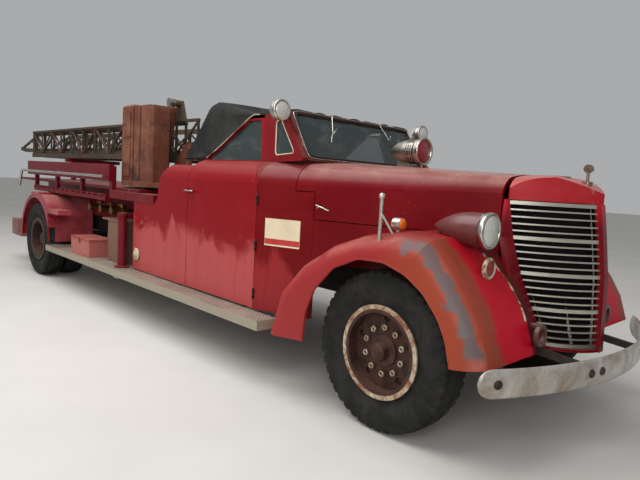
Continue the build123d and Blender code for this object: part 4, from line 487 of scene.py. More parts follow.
# %% Canvas cloth
def canvas_cloth():
    """Two crossed waves of thread for the weave, clouds of dust and of wet marks on top."""
    mat, shader, place = start_finish("rubbered canvas")
    cloud = clouds(place, 3.2, 6, 0.62, 0.8)
    colour = blend_in(step(cloud, 0.4, 0.75), rgb(26, 27, 26), rgb(52, 52, 48))
    marks = clouds(stretch(place, (2, 2, 7)), 3.0, 5, 0.6, 0.6)
    colour = blend_in(step(marks, 0.6, 0.72, 0.4), colour, rgb(76, 73, 66))
    feed(shader, Base_Color=colour, Roughness=0.82, Specular_IOR_Level=DULL_SHINE)
    weave = times(waves(place, 260), waves(place, 260, "Z"))
    roughen(shader, plus(weave, times(marks, 2.0)), 0.3, 0.001)
    return mat

CANVAS = canvas_cloth()

# %% [markdown]
# ## Glass, lenses and paints told apart by place
# Some nodes are several stuffs in one. Their colour changes at a height, along the vehicle or at
# a distance from the axle.

# %% Glass and lamp lenses
def clear_glass(name, tint, alpha):
    """Glass that is mostly a mirror of its surroundings, with a film of dust."""
    mat, shader, place = start_finish(name)
    film = clouds(stretch(place, (1, 1, 2.5)), 4, 6, 0.7, 0.8)
    colour = blend_in(step(film, 0.5, 0.8, 0.35), tint, rgb(150, 146, 138))
    feed(shader, Base_Color=colour, Roughness=step(film, 0.3, 0.9, 0.25), IOR=1.5, Specular_IOR_Level=0.8,
         Alpha=plus(step(film, 0.5, 0.8, 0.25), alpha))
    return mat

GLASS = clear_glass("dusty window glass", rgb(58, 70, 70), 0.42)

def lens_glass():
    """A pale pressed lens: upright flutes as a wave, over a bright back. The side lamps, which
    stand lower, and the siren's lamp in the middle are ruby."""
    mat, shader, place = start_finish("pressed headlamp lens")
    flutes = waves(place, 22, "Y")
    colour = blend_in(flutes, rgb(196, 198, 190), rgb(232, 232, 224))
    _, y, z = parts_of(place)
    ruby = maths("MAXIMUM", step(maths("ABSOLUTE", y), 0.31, 0.30), step(z, 1.16, 1.15))
    feed(shader, Base_Color=blend_in(ruby, colour, rgb(150, 6, 24)), Roughness=0.12, Metallic=0.35,
         Coat_Weight=0.8)
    roughen(shader, flutes, 0.5, 0.004)
    return mat

LENS = lens_glass()

# %% Paint by height
def by_height(name, first, levels, metal_above, rough, along=2):
    """Solids of one node told apart by height: first is the lowest colour, levels lists the
    heights where another starts, and above metal_above the stuff is bare metal. along = 0 goes
    by the length of the vehicle instead."""
    mat, shader, place = start_finish(name)
    height = parts_of(place)[along]
    cloud = clouds(place, 14, 6, 0.66, 0.5)
    colour = first
    for level, next_colour in levels:
        colour = blend_in(step(height, level, level + 0.01), colour, next_colour)
    feed(shader, Base_Color=blend_in(step(cloud, 0.5, 0.8, 0.4), colour, rgb(110, 80, 66)),
         Metallic=step(height, metal_above, metal_above + 0.01, 0.9),
         Roughness=plus(times(cloud, 0.3), rough))
    roughen(shader, clouds(place, 60, 4, 0.6), 0.1, 0.001)
    return mat

NO_METAL = 99
PODS = by_height("lamp pod paint", rgb(120, 14, 28),
                 [(1.13, rgb(98, 44, 42)), (1.75, rgb(178, 172, 162))], 1.75, 0.2)
FITTINGS = by_height("fittings metal", rgb(92, 62, 54),
                     [(0.85, rgb(196, 192, 182)), (1.47, rgb(140, 120, 102))], 0.85, 0.15)
BOXES = by_height("tool box paint", rgb(168, 92, 84),
                  [(FRONT_X - 4.16, rgb(112, 80, 64))], NO_METAL, 0.35, along=0)

# %% Tread plate
def tread_plate():
    """Steel with raised diamonds: two slanting waves, where both crests meet is a lozenge."""
    mat, shader, place = start_finish("worn tread plate")
    crests = [waves(stretch(place, turned=slant), 12) for slant in (0.785, -0.785)]
    lozenge = step(times(*crests), 0.4, 0.7)
    dirt = clouds(place, 3, 6, 0.65, 0.6)
    colour = blend_in(step(dirt, 0.35, 0.7), rgb(196, 188, 172), rgb(150, 138, 122))
    colour = blend_in(step(minus(1.0, lozenge), 0.3, 0.9, 0.5), colour, rgb(104, 92, 80))
    top = step(facing_up(place), 0.3, 0.7)
    feed(shader, Base_Color=blend_in(top, rgb(148, 138, 120), colour), Metallic=times(top, 0.55),
         Roughness=0.5)
    roughen(shader, times(lozenge, top), 0.8, 0.003)
    return mat

TREAD = tread_plate()

# %% Wheel paint
DISC_RADIUS = 0.262

def wheel_paint(name, centre_x, flange, rusted):
    """Brown disc and flange on one rim: the radius from the axle picks the colour."""
    mat, shader, place = start_finish(name)
    x, _, z = parts_of(stretch(place, shift=(-centre_x, 0, -AXLE_Z)))
    radius = maths("SQRT", plus(times(x, x), times(z, z)))
    cloud = clouds(place, 12, 6, 0.68, 0.6)
    disc = blend_in(step(cloud, 0.35, 0.7), rgb(44, 28, 24), rgb(80, 52, 42))
    ring = blend_in(step(cloud, 0.42, 0.58), flange, rusted)
    edge = plus(radius, times(cloud, 0.012))
    colour = blend_in(step(edge, DISC_RADIUS, DISC_RADIUS + 0.004), disc, ring)
    top = step(facing_up(place), 0.4, 1.0, 0.4)
    feed(shader, Base_Color=blend_in(top, colour, rgb(110, 88, 76)), Roughness=0.6, Specular_IOR_Level=0.25)
    roughen(shader, clouds(place, 60, 5, 0.7), 0.25, 0.0015)
    return mat

WHEEL_FRONT = wheel_paint("front wheel paint", FRONT_X, rgb(186, 172, 148), rgb(124, 76, 52))
WHEEL_REAR = wheel_paint("rear wheel paint", REAR_X, rgb(70, 64, 56), rgb(54, 44, 36))

# %% [markdown]
# ## Finishes on the CAD nodes
# A node whose form is right keeps its mesh and only gets a better finish. A * in a name stands
# for right and for left.

# %% Finish the nodes
FINISHES = (
    (MAROON, "bed jack_sleeves"), (BLACK, "cab_floor frame leaf_springs tie_rod"),
    (SIDE_RED, "cab_rear door_*"), (PINK, "chest_lid_*"), (PRIMER, "columns hoist_barrels turntable"),
    (COWL_RED, "cowl"), (GLASS, "door_glass_* windscreen_glass"),
    (IRON, "engine_block front_axle knuckle_* rear_axle"), (BUMPER, "front_bumper jack_leg_*"),
    (FENDER_RED, "front_fenders"), (FITTINGS, "front_fittings"), (WHEEL_FRONT, "front_rim_*"),
    (CHROME, "grab_rails"), (GRILLE, "grille_bars"), (BRUSHED, "hoist_rods siren"),
    (HOOD_RED, "hood_*"), (LADDER, "ladder_base ladder_mid ladder_fly"), (LENS, "lamp_glasses"),
    (PODS, "lamp_pods"), (NOSE_RED, "nose_shell"), (REAR_RED, "rear_fenders"),
    (WHEEL_REAR, "rear_rims_*"), (TREAD, "running_boards"), (HIDE, "seat"), (SEAL, "steering_wheel"),
    (TAIL_STEEL, "tailboard"), (BOXES, "tool_boxes"), (BRASS, "valves"),
    (SEAM_BROWN, "windscreen_frame"), (TYRE, "front_tyre_* rear_tyres_*"), (CANVAS, "canvas_top"),
)
finished = set()
for material, words in FINISHES:
    nodes = {word.replace("*", side) for word in words.split() for side, _ in SIDES}
    for node in nodes:
        for slot in NODES[node].material_slots:
            slot.material = material
    finished |= nodes
print("finished", len(finished), "of", len(NODES))

# %% [markdown]
# ## Stage, light and camera
# The hall is reduced to a pale floor and soft studio light. The camera stands where the
# photograph was taken: its place, its turn and its focal length were solved from the picture.

# %% Camera
EYE = at(2.036, -3.487, 1.477)
YAW, PITCH, ROLL = np.radians((136.03, -6.0, 3.35))
FOCAL_MM, SENSOR_MM = 30.99, 36.0
scene = bpy.context.scene
look = np.array([np.cos(PITCH) * np.cos(YAW), np.cos(PITCH) * np.sin(YAW), np.sin(PITCH)])
right = np.array([np.sin(YAW), -np.cos(YAW), 0])
up = np.cross(right, look)
level, tilt = np.cos(ROLL), np.sin(ROLL)
axes = np.stack([level * right + tilt * up, -tilt * right + level * up, -look], 1)
lens = bpy.data.cameras.new("camera")
lens.lens, lens.sensor_width, lens.clip_end = FOCAL_MM, SENSOR_MM, 200
camera = bpy.data.objects.new("camera", lens)
camera.matrix_world = Matrix.Translation(EYE.tolist()) @ Matrix(axes.tolist()).to_4x4()
scene.collection.objects.link(camera)
scene.camera = camera

# %% Floor and light
def ground_finish():
    """A pale even floor with faint clouds."""
    mat, shader, place = start_finish("pale floor")
    cloud = clouds(place, 0.6, 5, 0.6)
    colour = blend_in(step(cloud, 0.3, 0.7), rgb(198, 195, 189), rgb(208, 205, 199))
    feed(shader, Base_Color=colour, Roughness=0.75)
    return mat

FLOOR_HALF, FLOOR_Z = 60, -0.001
SKY, SKY_POWER = (0.86, 0.88, 0.9, 1), 0.46
AIM = Vector((1.5, 0, 1))
LIGHTS = (("roof strips", (1, -3, 7.0), 7, 620), ("front fill", (8, -7, 4.0), 4, 230),
          ("rear fill", (-7, 6, 5), 5, 120))
t = np.linspace(-FLOOR_HALF, FLOOR_HALF, 3)
x, y = np.meshgrid(t, t, indexing="ij")
floor = lay_grid("floor", np.stack([x, y, np.full(x.shape, FLOOR_Z)], 2))
floor.data.materials.append(ground_finish())
square_up(floor)
world = bpy.data.worlds.new("hall light")
world.use_nodes = True
sky = world.node_tree.nodes["Background"]
sky.inputs[0].default_value = SKY
sky.inputs[1].default_value = SKY_POWER
scene.world = world
for name, spot, size, power in LIGHTS:
    light = bpy.data.lights.new(name, "AREA")
    light.energy, light.size = power, size
    lamp = bpy.data.objects.new(name, light)
    lamp.location = spot
    lamp.rotation_euler = (AIM - Vector(spot)).to_track_quat("-Z", "Y").to_euler()
    scene.collection.objects.link(lamp)
scene.view_settings.view_transform = "Standard"
print("camera at", tuple(round(v, 3) for v in camera.location))

# %% [markdown]
# ## Tyres
# A truck tyre has a nearly flat tread with shoulder lugs and a bulged side wall with fine ribs.
# One outline goes round the axle, and the depth of the tread is a function of the angle and of
# the place across the tread.

# %% Tyres
TYRE_WIDTH, TREAD_SHARE, TREAD_DEPTH, GROOVE = 0.236, 0.44, 0.012, 0.006
FRONT_TYRE_Y, REAR_TYRES_Y = 0.890, (0.975, 0.695)

def tyre_points(centre, width=TYRE_WIDTH, outer=0.490, bead=0.270, around=360, lugs=44):
    """Radius = outline(s) - groove(s, a), side = width outline(s), for s from bead to bead. Three
    zigzag grooves run round the tread and lugs are cut across its shoulders."""
    s = np.linspace(-1, 1, 57)
    tread = np.abs(s) < TREAD_SHARE
    wall = np.clip((np.abs(s) - TREAD_SHARE) / (1 - TREAD_SHARE), 0, 1)
    bulge = 0.86 + 0.14 * np.sin(np.pi * np.clip(wall * 1.25, 0, 1)) - 0.16 * wall ** 3
    y = np.where(tread, 0.86 * s / TREAD_SHARE, np.sign(s) * bulge) * width / 2
    shoulder = outer - 0.010
    crown = outer - 0.010 * np.clip(np.abs(s) / TREAD_SHARE, 0, 1) ** 3
    r = np.where(tread, crown, shoulder - (shoulder - bead) * wall ** 1.15)
    ribs = 0.0025 * ((wall > 0.32) & (wall < 0.38)) + 0.002 * ((wall > 0.78) & (wall < 0.84))
    a = full_turn(around)
    across = np.abs(y) / (width / 2)
    zig = 2 * GROOVE * (2 * np.abs((a * lugs / (2 * np.pi)) % 1 - 0.5) - 0.5)
    grooves = np.zeros((len(s), around))
    for line in (-0.30, 0.0, 0.30):
        off = np.abs(y[:, None] - line * width - zig[None]) / GROOVE
        grooves = np.maximum(grooves, np.clip(1.6 - off, 0, 1))
    cuts = np.clip(1.5 * np.cos(a * lugs) - 0.35, 0, 1) * np.clip((across[:, None] - 0.58) / 0.06, 0, 1)
    cuts = cuts * np.clip((0.16 - wall[:, None]) / 0.05, 0, 1)
    radius = r[:, None] - TREAD_DEPTH * np.maximum(grooves * tread[:, None], cuts)
    side = (y + np.sign(y) * ribs)[:, None] + np.zeros_like(radius)
    return np.stack([centre[0] + radius * np.cos(a), centre[1] + side, centre[2] + radius * np.sin(a)], 2)

def tyre(name, body, node, centres):
    """One piece for the tyre or the pair of tyres on a hub."""
    parts = [square_up(lay_grid(f"{name}_{i}", tyre_points(centre), ring=True, tube=True))
             for i, centre in enumerate(centres)]
    return dress(merge(name, parts), TYRE, "tyre", node, body=body)

for side, sign in SIDES:
    tyre(f"tyre_front_{side}", f"front_wheel_{side}", f"front_tyre_{side}",
         [(FRONT_X, sign * FRONT_TYRE_Y, AXLE_Z)])
    tyre(f"tyres_rear_{side}", f"rear_wheels_{side}", f"rear_tyres_{side}",
         [(REAR_X, sign * y, AXLE_Z) for y in REAR_TYRES_Y])

# %% [markdown]
# ## Wheel nuts
# Ten pale nuts with open centres hold each disc. A nut is a short tube turned about its own
# axis, so one outline serves all forty of them.

# %% Wheel nuts
NUT = [(0.0, 0.009), (0.0, 0.021), (0.020, 0.021), (0.0255, 0.0175), (0.0255, 0.009)]
NUT_TURNS = full_turn(10)
for side, sign in SIDES:
    for axle, x, face, pitch, body in (("front", FRONT_X, 0.925, 0.143, f"front_wheel_{side}"),
                                       ("rear", REAR_X, 0.861, 0.151, f"rear_wheels_{side}")):
        rings = [turn("nut", NUT, (x + pitch * np.sin(a), sign * face, AXLE_Z + pitch * np.cos(a)),
                      (0, sign, 0), 14, join=True) for a in NUT_TURNS]
        dress(merge(f"nuts_{axle}_{side}", rings), NUTS, "rim", body=body)

# %% [markdown]
# ## Lamp rings
# Each lamp has a bright ring that is rolled over the glass. The side lamps' rings are cream.

# %% Lamp rings
AHEAD = (1, 0, 0)
SIREN_Z = 1.752
RINGS = (("headlamp_ring", 0.099, 0.036, 0.006, (0.517, 0.720, 1.262), 72, CHROME),
         ("side_lamp_ring", 0.056, 0.018, 0.004, (0.530, 0.722, 1.056), 56, CREAM),
         ("spotlight_ring", 0.074, 0.018, 0.004, (-1.154, 0.868, 1.985), 56, CHROME))

def ring_outline(r, deep, roll):
    """A rolled ring: back along the bowl, round the front edge, in to the glass."""
    return [(-deep, r), (-deep, r + 0.004), (-roll, r + 0.006), (0.0, r + 0.004), (0.004, r - 0.002),
            (0.003, r - 0.011), (-0.004, r - 0.014), (-0.006, r - 0.004)]

for side, sign in SIDES:
    for name, radius, deep, roll, (x, y, z), count, material in RINGS:
        outline = ring_outline(radius, deep, roll)
        dress(turn(f"{name}_{side}", outline, at(x, sign * y, z), AHEAD, count, True), material, "bright")
bell = [(-0.055, 0.091), (-0.02, 0.096), (0.006, 0.103), (0.014, 0.103), (0.016, 0.098),
        (0.006, 0.090), (-0.002, 0.084), (-0.006, 0.088)]
dress(turn("siren_bell", bell, at(-0.502, 0, SIREN_Z), AHEAD, 80, True), CHROME, "bright")

# %% [markdown]
# ## Siren slots
# Short slots round the siren's drum let the sound out. Each is drawn as a dark rubber strip, a bit of a
# ring that lies just proud of the drum, which paints the shade inside the slot.

# %% Siren slots
def arc_path(centre, radius, start, span, count=8):
    """Points on a circle in the plane square to X."""
    a = np.linspace(start, start + span, count)
    return centre + np.stack([0 * a, radius * np.cos(a), radius * np.sin(a)], 1)

DRUM_R, SLOT_R, SLOT_SPAN = 0.0922, 0.0035, 0.36
slots = [sweep("slot", arc_path(at(x, 0, SIREN_Z), DRUM_R, k * np.pi / 6, SLOT_SPAN), SLOT_R, 6)
         for x in (-0.565, -0.585, -0.605) for k in range(12)]
# Dark strips in place of openings: painted shade of the siren's slots.
dress(merge("siren_slot_shade", slots), SEAL, "bright")

# %% [markdown]
# ## Canvas top
# The folding top is one rubbered cloth over a header rail and a rear bow. Across the cab it is
# a roof with two falling sides, and along the cab its lower edge climbs to the windscreen. So
# the surface runs between two lines: the middle of the roof, and the side's lower edge.

# %% Canvas sheet
EAVE, EAVE_DROP, CLOTH_THICK = 0.60, 0.012, 0.004
ROOF_LINE = [(-1.306, 2.020), (-1.62, 2.018), (-1.98, 2.062), (-2.235, 2.142), (-2.33, 2.140),
             (-2.43, 2.092), (-2.50, 1.94), (-2.575, 1.79), (-2.645, 1.630)]
LOWER_EDGE = [(-1.306, 1.982), (-1.69, 1.982), (-1.88, 1.868), (-2.08, 1.738), (-2.275, 1.626),
              (-2.39, 1.624), (-2.48, 1.624), (-2.57, 1.624), (-2.648, 1.624)]

def cab_half(z):
    """Half the width of the cab above its waist: it leans in by a fixed slope."""
    return 0.800 + 0.1842 * (1.61 - z)

def in_window(xz, sign, inset):
    """Points of the side view laid into the leaning side of the cab."""
    return np.stack([xz[:, 0] + FRONT_X, sign * (cab_half(xz[:, 1]) - inset), xz[:, 1]], 1)

def canvas_points(rows=90, cols=85):
    """P(t) is the roof's middle line, Q(t) the side's lower edge. Across, the roof spans from the
    middle to the eave, and the side falls from the eave to Q. Waves add the folds of the sides,
    the pull of the roof and the slack between its bows."""
    t = np.linspace(0, 1, rows)[:, None]
    s = np.linspace(-1, 1, cols)[None]
    mid_x, mid_z = curve_through(ROOF_LINE, rows).T[..., None]
    low_x, low_z = curve_through(LOWER_EDGE, rows).T[..., None]
    roof = np.clip(np.abs(s) / EAVE, 0, 1)
    fall = np.clip((np.abs(s) - EAVE) / (1 - EAVE), 0, 1)
    x = mid_x + (low_x - mid_x) * fall
    z = mid_z - EAVE_DROP * roof ** 4 + (low_z - mid_z + EAVE_DROP) * fall
    slack = np.sin(np.pi * np.clip(t / 0.38, 0, 1))
    z = z - 0.022 * slack * (1 - roof ** 2) * (fall == 0)
    corner = 1 - 0.035 * np.exp(-((np.abs(s) - EAVE) / 0.05) ** 2)
    y = np.sign(s) * cab_half(z) * np.where(roof < 1, roof ** 0.97, 1) * corner
    folds = 0.006 * np.sin(46 * (x + 0.6 * z)) * fall * (1 - fall) * 4
    pull = 0.005 * np.sin(30 * x + 9 * np.abs(y)) * slack * roof * (fall == 0)
    hang = 0.012 * np.sin(np.pi * fall) * np.sin(np.pi * np.clip((t - 0.1) / 0.6, 0, 1))
    return np.stack([x, y - np.sign(y) * (np.abs(folds) + hang), z + pull], 2)

grid = canvas_points() + SHIFT
canvas = lay_grid("canvas_sheet", grid)
cloth = canvas.modifiers.new("cloth", "SOLIDIFY")
cloth.thickness, cloth.offset = CLOTH_THICK, -1
dress(canvas, CANVAS, "canvas", "canvas_top")

# %% [markdown]
# ## Binding of the canvas
# The front edge of each side is bound with a pale strip, and a dark roll lies over the header.

# %% Binding
BINDING = [(-1.60, 1.990), (-1.70, 1.982), (-1.88, 1.868), (-2.08, 1.738), (-2.262, 1.632)]
for side, sign in SIDES:
    edge = in_window(curve_through(BINDING, 40), sign, -0.006)
    dress(sweep(f"canvas_binding_{side}", edge, 0.007, 8, 0.6), CREAM, "canvas")
y = np.linspace(-0.735, 0.735, 120)
roll = np.stack([-1.268 + 0.006 * np.sin(22 * y), y, 2.010 + 0.004 * np.sin(31 * y + 1)], 1) + SHIFT
thick = 0.021 + 0.003 * np.sin(47 * y)
dress(sweep("header_roll", roll, thick, 12, 0.8), CANVAS, "canvas")

# %% [markdown]
# ## Windscreen seals and wipers
# A rubber seal lies in the frame all round the pane, with a thin bright strip outside it. A short
# wiper hangs from the top edge on each side.

# %% Seals and wipers
LOW_EDGE, TOP_EDGE, PANE_HALF = np.array([-1.030, 1.655]), np.array([-1.235, 1.985]), 0.690
PANE_TALL = np.linalg.norm(TOP_EDGE - LOW_EDGE)
UPWARD = (TOP_EDGE - LOW_EDGE) / PANE_TALL
OUTWARD = np.array([UPWARD[1], -UPWARD[0]])

def screen_loop(grow, out, count=200):
    """A rounded rectangle round the pane: a superellipse of high power in the pane's plane."""
    a = full_turn(count)
    c, s = np.cos(a), np.sin(a)
    u = bend(s, 0.12) * (PANE_TALL / 2 + grow)
    w = bend(c, 0.12) * (PANE_HALF + grow)
    xz = (LOW_EDGE + TOP_EDGE) / 2 + u[:, None] * UPWARD + out * OUTWARD
    return np.stack([xz[:, 0] + FRONT_X, w, xz[:, 1]], 1)

dress(sweep("screen_seal", screen_loop(0.002, 0.014), 0.0065, 8, closed=True), SEAL, "tyre")
dress(sweep("screen_strip", screen_loop(0.020, 0.016), 0.0035, 8, closed=True), CHROME, "bright")
hub_x, hub_z = TOP_EDGE + 0.030 * OUTWARD
foot_x, foot_z = TOP_EDGE - 0.16 * UPWARD + 0.026 * OUTWARD
for side, sign in SIDES:
    arm = [(hub_x, sign * 0.30, hub_z + 0.012), (hub_x, sign * 0.30, hub_z), (foot_x, sign * 0.36, foot_z)]
    blade = np.array([(0.02, 0.33, 0.05), (-0.004, 0.365, -0.012), (0.028, 0.40, -0.07)]) * [1, sign, 1]
    parts = [sweep("arm", curve_through(arm, 14) + SHIFT, 0.004, 8),
             sweep("blade", blade + at(foot_x, 0, foot_z), 0.0045, 6, 0.5)]
    dress(merge(f"wiper_{side}", parts), CHROME, "bright")

# %% [markdown]
# ## Door and hood hardware
# Hinge barrels stand in the seam ahead of each door, and a slanting handle locks each hood side.

# %% Hinges and hood handles
COWL_X, COWL_HALF, NOSE_HALF, HOOD_LONG = -1.3, 0.950, 0.402, 1.725
TAPER = (COWL_HALF - NOSE_HALF) / HOOD_LONG
FACE = np.array([TAPER, 1.0, 0]) / np.hypot(TAPER, 1)
BARREL = [(-0.042, 0.0), (-0.042, 0.009), (-0.014, 0.010), (-0.012, 0.008),
          (0.012, 0.008), (0.014, 0.010), (0.042, 0.009), (0.042, 0.0)]
UPRIGHT, HINGE_HEIGHTS = (0, 0, 1), (1.32, 0.97, 0.60)
GRIP = ((-0.800, 1.314, 0.030), (-0.770, 1.306, 0.036), (-0.735, 1.294, 0.034), (-0.700, 1.280, 0.024))

def on_side(x, z, out, sign):
    """A point at a distance out from the tapering side of the hood and the cowl."""
    return (at(x, COWL_HALF - TAPER * (x - COWL_X), z) + FACE * out) * [1, sign, 1]

def handle(name, grip, grip_r, stem, stem_r):
    """A bent grip, flattened a little, on a straight stem."""
    return merge(name, [sweep("grip", curve_through(grip, 16), grip_r, 10, 0.7),
                        sweep("stem", stem, stem_r, 10)])

for side, sign in SIDES:
    barrels = [turn("barrel", BARREL, at(-1.296, sign * 0.953, z), UPRIGHT, 14) for z in HINGE_HEIGHTS]
    dress(merge(f"door_hinges_{side}", barrels), BLACK, "frame_black")
    grip = [on_side(x, z, out, sign) for x, z, out in GRIP]
    stem = [on_side(-0.785, 1.300, out, sign) for out in (-0.004, 0.010, 0.020, 0.032)]
    dress(handle(f"hood_handle_{side}", grip, 0.008, stem, 0.009), CHROME, "bright", body=f"hood_{side}")

# %% [markdown]
# ## The blank sign
# A small enamel plate with a red band is screwed to the right of the cowl. It stays blank.

# %% Sign
def side_panel(name, x0, x1, z0, z1, lift, thick):
    """A flat plate on the right tapering side: the same rectangle at two distances from it."""
    faces = [[on_side(x, z, out, -1) for x, z in ((x0, z0), (x1, z0), (x1, z1), (x0, z1))]
             for out in (lift, lift + thick)]
    return plate(name, *faces)

dress(side_panel("blank_sign", -1.220, -0.928, 0.982, 1.187, 0.0005, 0.002), WHITE, "faded_red")
dress(side_panel("sign_band", -1.218, -0.930, 0.994, 1.036, 0.0024, 0.0006), SIGN_RED, "faded_red")

# %% [markdown]
# ## Bumper bolts and grille core
# Domed bolts hold the bumper to its irons and its ends. Behind the grille stands the radiator,
# a near-black wall with almost no shine: the core's own black and painted shade behind the bars,
# which makes the bars read as bright lines.

# %% Bolts
BOW_X, BOW_R, BLADE_Z = -1.1094, 2.1664, 0.545
BOLT = [(0, 0.0), (0, 0.024), (0.004, 0.0235), (0.010, 0.017), (0.013, 0.008), (0.0135, 0.0)]
bolts = []
for y in (-1.03, -0.43, -0.33, 0.33, 0.43, 1.03):
    a = np.arcsin(y / BOW_R)
    centre = at(BOW_X + (BOW_R - 0.001) * np.cos(a), BOW_R * np.sin(a), BLADE_Z)
    bolts.append(turn("bolt", BOLT, centre, (np.cos(a), np.sin(a), 0), 20))
dress(merge("bumper_bolts", bolts), IRON, "bumper_steel")

# %% Radiator core
HEIGHTS = [0.56, 0.80, 1.00, 1.215, 1.44]
EDGE_X, EDGE_Y = [0.690, 0.600, 0.530, 0.470, 0.432], [0.250, 0.310, 0.350, 0.372, 0.384]
NOSE_X = [0.900, 0.893, 0.885, 0.856, 0.822]
BEHIND_BARS, FIN_PITCH = 0.055, 0.012
z, t = np.meshgrid(np.linspace(0.565, 1.436, 60), np.linspace(-1, 1, 81), indexing="ij")
edge_x, edge_y, nose_x = (np.interp(z, HEIGHTS, row) for row in (EDGE_X, EDGE_Y, NOSE_X))
x = edge_x + (nose_x - edge_x) * (1 - t ** 2) - BEHIND_BARS + 0.002 * np.sin(z * 2 * np.pi / FIN_PITCH)
core = lay_grid("radiator_core", np.stack([x, t * (edge_y + 0.004), z], 2) + SHIFT)
depth = core.modifiers.new("depth", "SOLIDIFY")
depth.thickness, depth.offset = 0.006, 0
dress(core, CORE_AND_SHADE, "iron")

# %% [markdown]
# ## Bumper blade
# The bumper is a spring-steel bar, bowed in plan, a little crowned, with rounded ends. It hangs
# on two flat irons bolted to the rails.

# %% Bumper
BLADE_H, BLADE_T, BLADE_END = 0.075, 0.022, np.arcsin(1.125 / BOW_R)
IRON_OUTLINE = np.array([(0.060, 0.596), (0.060, 0.640), (0.230, 0.640), (1.008, 0.567), (1.008, 0.523),
                         (0.200, 0.596)])

def blade_points(rows=181, cols=40):
    """A superellipse section whose height shrinks to a round nose at both ends, on an arc."""
    a = np.linspace(-BLADE_END, BLADE_END, rows)[:, None]
    b = full_turn(cols)[None]
    left = np.clip(BOW_R * (BLADE_END - np.abs(a)) / 0.085, 0, 1)
    tall = BLADE_H * np.sqrt(np.clip(1 - (1 - left) ** 2, 0, 1)) + 1e-4
    up = bend(np.sin(b), 0.5)
    deep = bend(np.cos(b), 0.6)
    r = BOW_R - BLADE_T / 2 + deep * BLADE_T / 2 * np.minimum(1, tall / 0.02) - 0.006 * up ** 2 * (deep > 0)
    return np.stack([BOW_X + r * np.cos(a), r * np.sin(a), BLADE_Z + tall * up], 2) + SHIFT

def flat_iron(name, sign):
    """A flat bar cut to an outline in side view: the outline at two places across."""
    return plate(name, *(np.insert(IRON_OUTLINE, 1, sign * y, axis=1) + SHIFT for y in (0.352, 0.378)))

blade = square_up(lay_grid("bumper_blade", blade_points(), tube=True))
dress(blade, BUMPER, "bumper_steel", "front_bumper")
for side, sign in SIDES:
    dress(soften(flat_iron(f"bumper_iron_{side}", sign)), IRON, "bumper_steel", "front_bumper")

# %% [markdown]
# ## Direction lamps, vent panes and outlet
# The amber drums have a domed lens on both ends. The quarter vents are small panes in a pale
# seal. A capped outlet stands at the foot of the right quarter panel.

# %% Amber lenses
DOME = [(0.0, 0.033), (0.006, 0.032), (0.013, 0.025), (0.017, 0.013), (0.018, 0.0)]
for side, sign in SIDES:
    domes = [turn("dome", DOME, at(0.055 + way * 0.026, sign * 0.95, 1.262), (way, 0, 0), 36)
             for way in (-1, 1)]
    dress(merge(f"amber_lenses_{side}", domes), AMBER, "lamp_glass")

# %% Vent panes
VENT = np.array([(-1.311, 1.660), (-1.088, 1.678), (-1.322, 1.940), (-1.374, 1.925)])
spans = np.roll(VENT, -1, 0) - VENT
loop = (VENT[:, None] + spans[:, None] * np.linspace(0.08, 0.92, 12)[:, None]).reshape(-1, 2)
loop = (loop - loop.mean(0)) * 0.99 + loop.mean(0)

for side, sign in SIDES:
    dress(sweep(f"vent_seal_{side}", in_window(loop, sign, 0.004), 0.006, 8, closed=True), CREAM, "tyre")
    pane = plate(f"vent_pane_{side}", in_window(VENT, sign, 0.010), in_window(VENT, sign, 0.015))
    dress(pane, GLASS, "glass")

# %% Outlet and door handles
OUTLET = [(-0.05, 0.0), (-0.05, 0.035), (0.0, 0.035), (0.0, 0.062), (0.010, 0.066), (0.016, 0.060),
          (0.016, 0.034), (0.030, 0.030), (0.034, 0.0)]
HANDLE_Z = 1.336
dress(turn("outlet_cap", OUTLET, at(-3.276, -0.952, 0.636), (0, -1, 0), 48), CREAM, "bright")
for side, sign in SIDES:
    grip = [at(x, sign * y, HANDLE_Z)
            for x, y in ((-2.300, 0.992), (-2.250, 0.998), (-2.205, 0.996), (-2.172, 0.988))]
    stem = [at(-2.285, sign * y, HANDLE_Z) for y in (0.944, 0.965, 0.980, 0.994)]
    dress(handle(f"door_handle_{side}", grip, 0.0095, stem, 0.008), CHROME, "bright", body=f"door_{side}")

# %% [markdown]
# ## Fender beads and seam piping
# The fender's edge is rolled round a wire. From the side that is one line round the arch, and
# the nose meets the fender on a welt of thin piping.

# %% Beads
BEAD_R = 0.006
WELT = np.array([(0.678, 0.554, 0.770), (0.661, 0.544, 0.801), (0.642, 0.540, 0.833), (0.619, 0.540, 0.872),
                 (0.594, 0.542, 0.910), (0.566, 0.539, 0.945), (0.539, 0.544, 0.979), (0.508, 0.561, 1.019),
                 (0.479, 0.579, 1.056), (0.446, 0.603, 1.090), (0.418, 0.624, 1.120)])

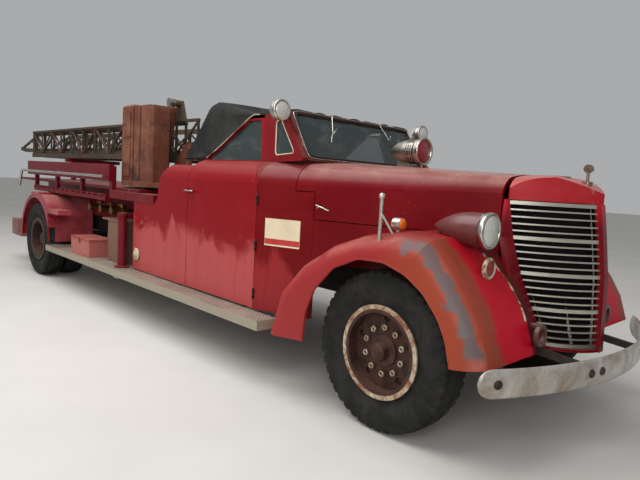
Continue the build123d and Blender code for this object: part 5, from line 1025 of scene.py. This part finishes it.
def arch_line(centre_x, radius, start, stop, y, count=70):
    """Points on a wheel arch at a radius from its axle, between two angles from the rear."""
    a = np.radians(np.linspace(start, stop, count))
    return np.stack([centre_x - radius * np.cos(a), np.full(count, y), AXLE_Z + radius * np.sin(a)], 1)

for side, sign in SIDES:
    welt = curve_through(WELT * [1, sign, 1] + SHIFT + [0.002, 0, 0.002], 60)
    for name, line, material, slot in (
            ("fender_bead", arch_line(FRONT_X, 0.562, -4, 170, sign * 1.094), FENDER_RED, "fender_red"),
            ("fender_welt", welt, CREAM, "fender_red"),
            ("rear_fender_bead", arch_line(REAR_X, 0.560, 2, 178, sign * 1.116), RED, "faded_red")):
        dress(sweep(f"{name}_{side}", line, BEAD_R, 8), material, slot)

# %% [markdown]
# ## Bench seat
# The seat is two stuffed pads with upright channels sewn into them. Each is a closed crowned
# form: a superellipse in side view, drawn in towards both ends, with dents along the seams.

# %% Seat
CHANNELS, CUSHION_LONG, CUSHION_THICK = 9, 0.505, 0.150
BACK_THICK, BACK_GAP, BACK_X, BACK_SLOPE = 0.085, 0.155, 0.490, 0.30

def pad_points(low, high, rows=160, cols=48):
    """In side view a superellipse, cos and sin to the power 0.42. Across, it shrinks at the ends
    and has a dent at each seam."""
    low, high = np.array(low), np.array(high)
    centre, half = (low + high) / 2, (high - low) / 2
    v = np.linspace(-1, 1, rows)[:, None]
    a = full_turn(cols)[None]
    shrink = (1 - np.abs(v) ** 14 * 0.999) ** 0.30
    seam = 1 - 0.10 * np.exp(-(((v * CHANNELS / 2) % 1 - 0.5) / 0.09) ** 2)
    fx = bend(np.cos(a), 0.42)
    fz = bend(np.sin(a), 0.42)
    return centre + half * np.stack([fx * shrink * seam, v + 0 * a, fz * shrink * seam], 2)

low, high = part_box("seat")
flat = pad_points((high[0] - CUSHION_LONG, low[1], low[2]), (high[0], high[1], low[2] + CUSHION_THICK))
back = pad_points((0, low[1], low[2] + BACK_GAP), (BACK_THICK, high[1], high[2]))
back[..., 0] += (high[0] - BACK_X) - BACK_SLOPE * (back[..., 2] - low[2] - BACK_GAP)
for name, points in (("seat_cushion", flat), ("seat_back", back)):
    pad = square_up(lay_grid(name, points, tube=True))
    dress(pad, HIDE, "hide", "seat")
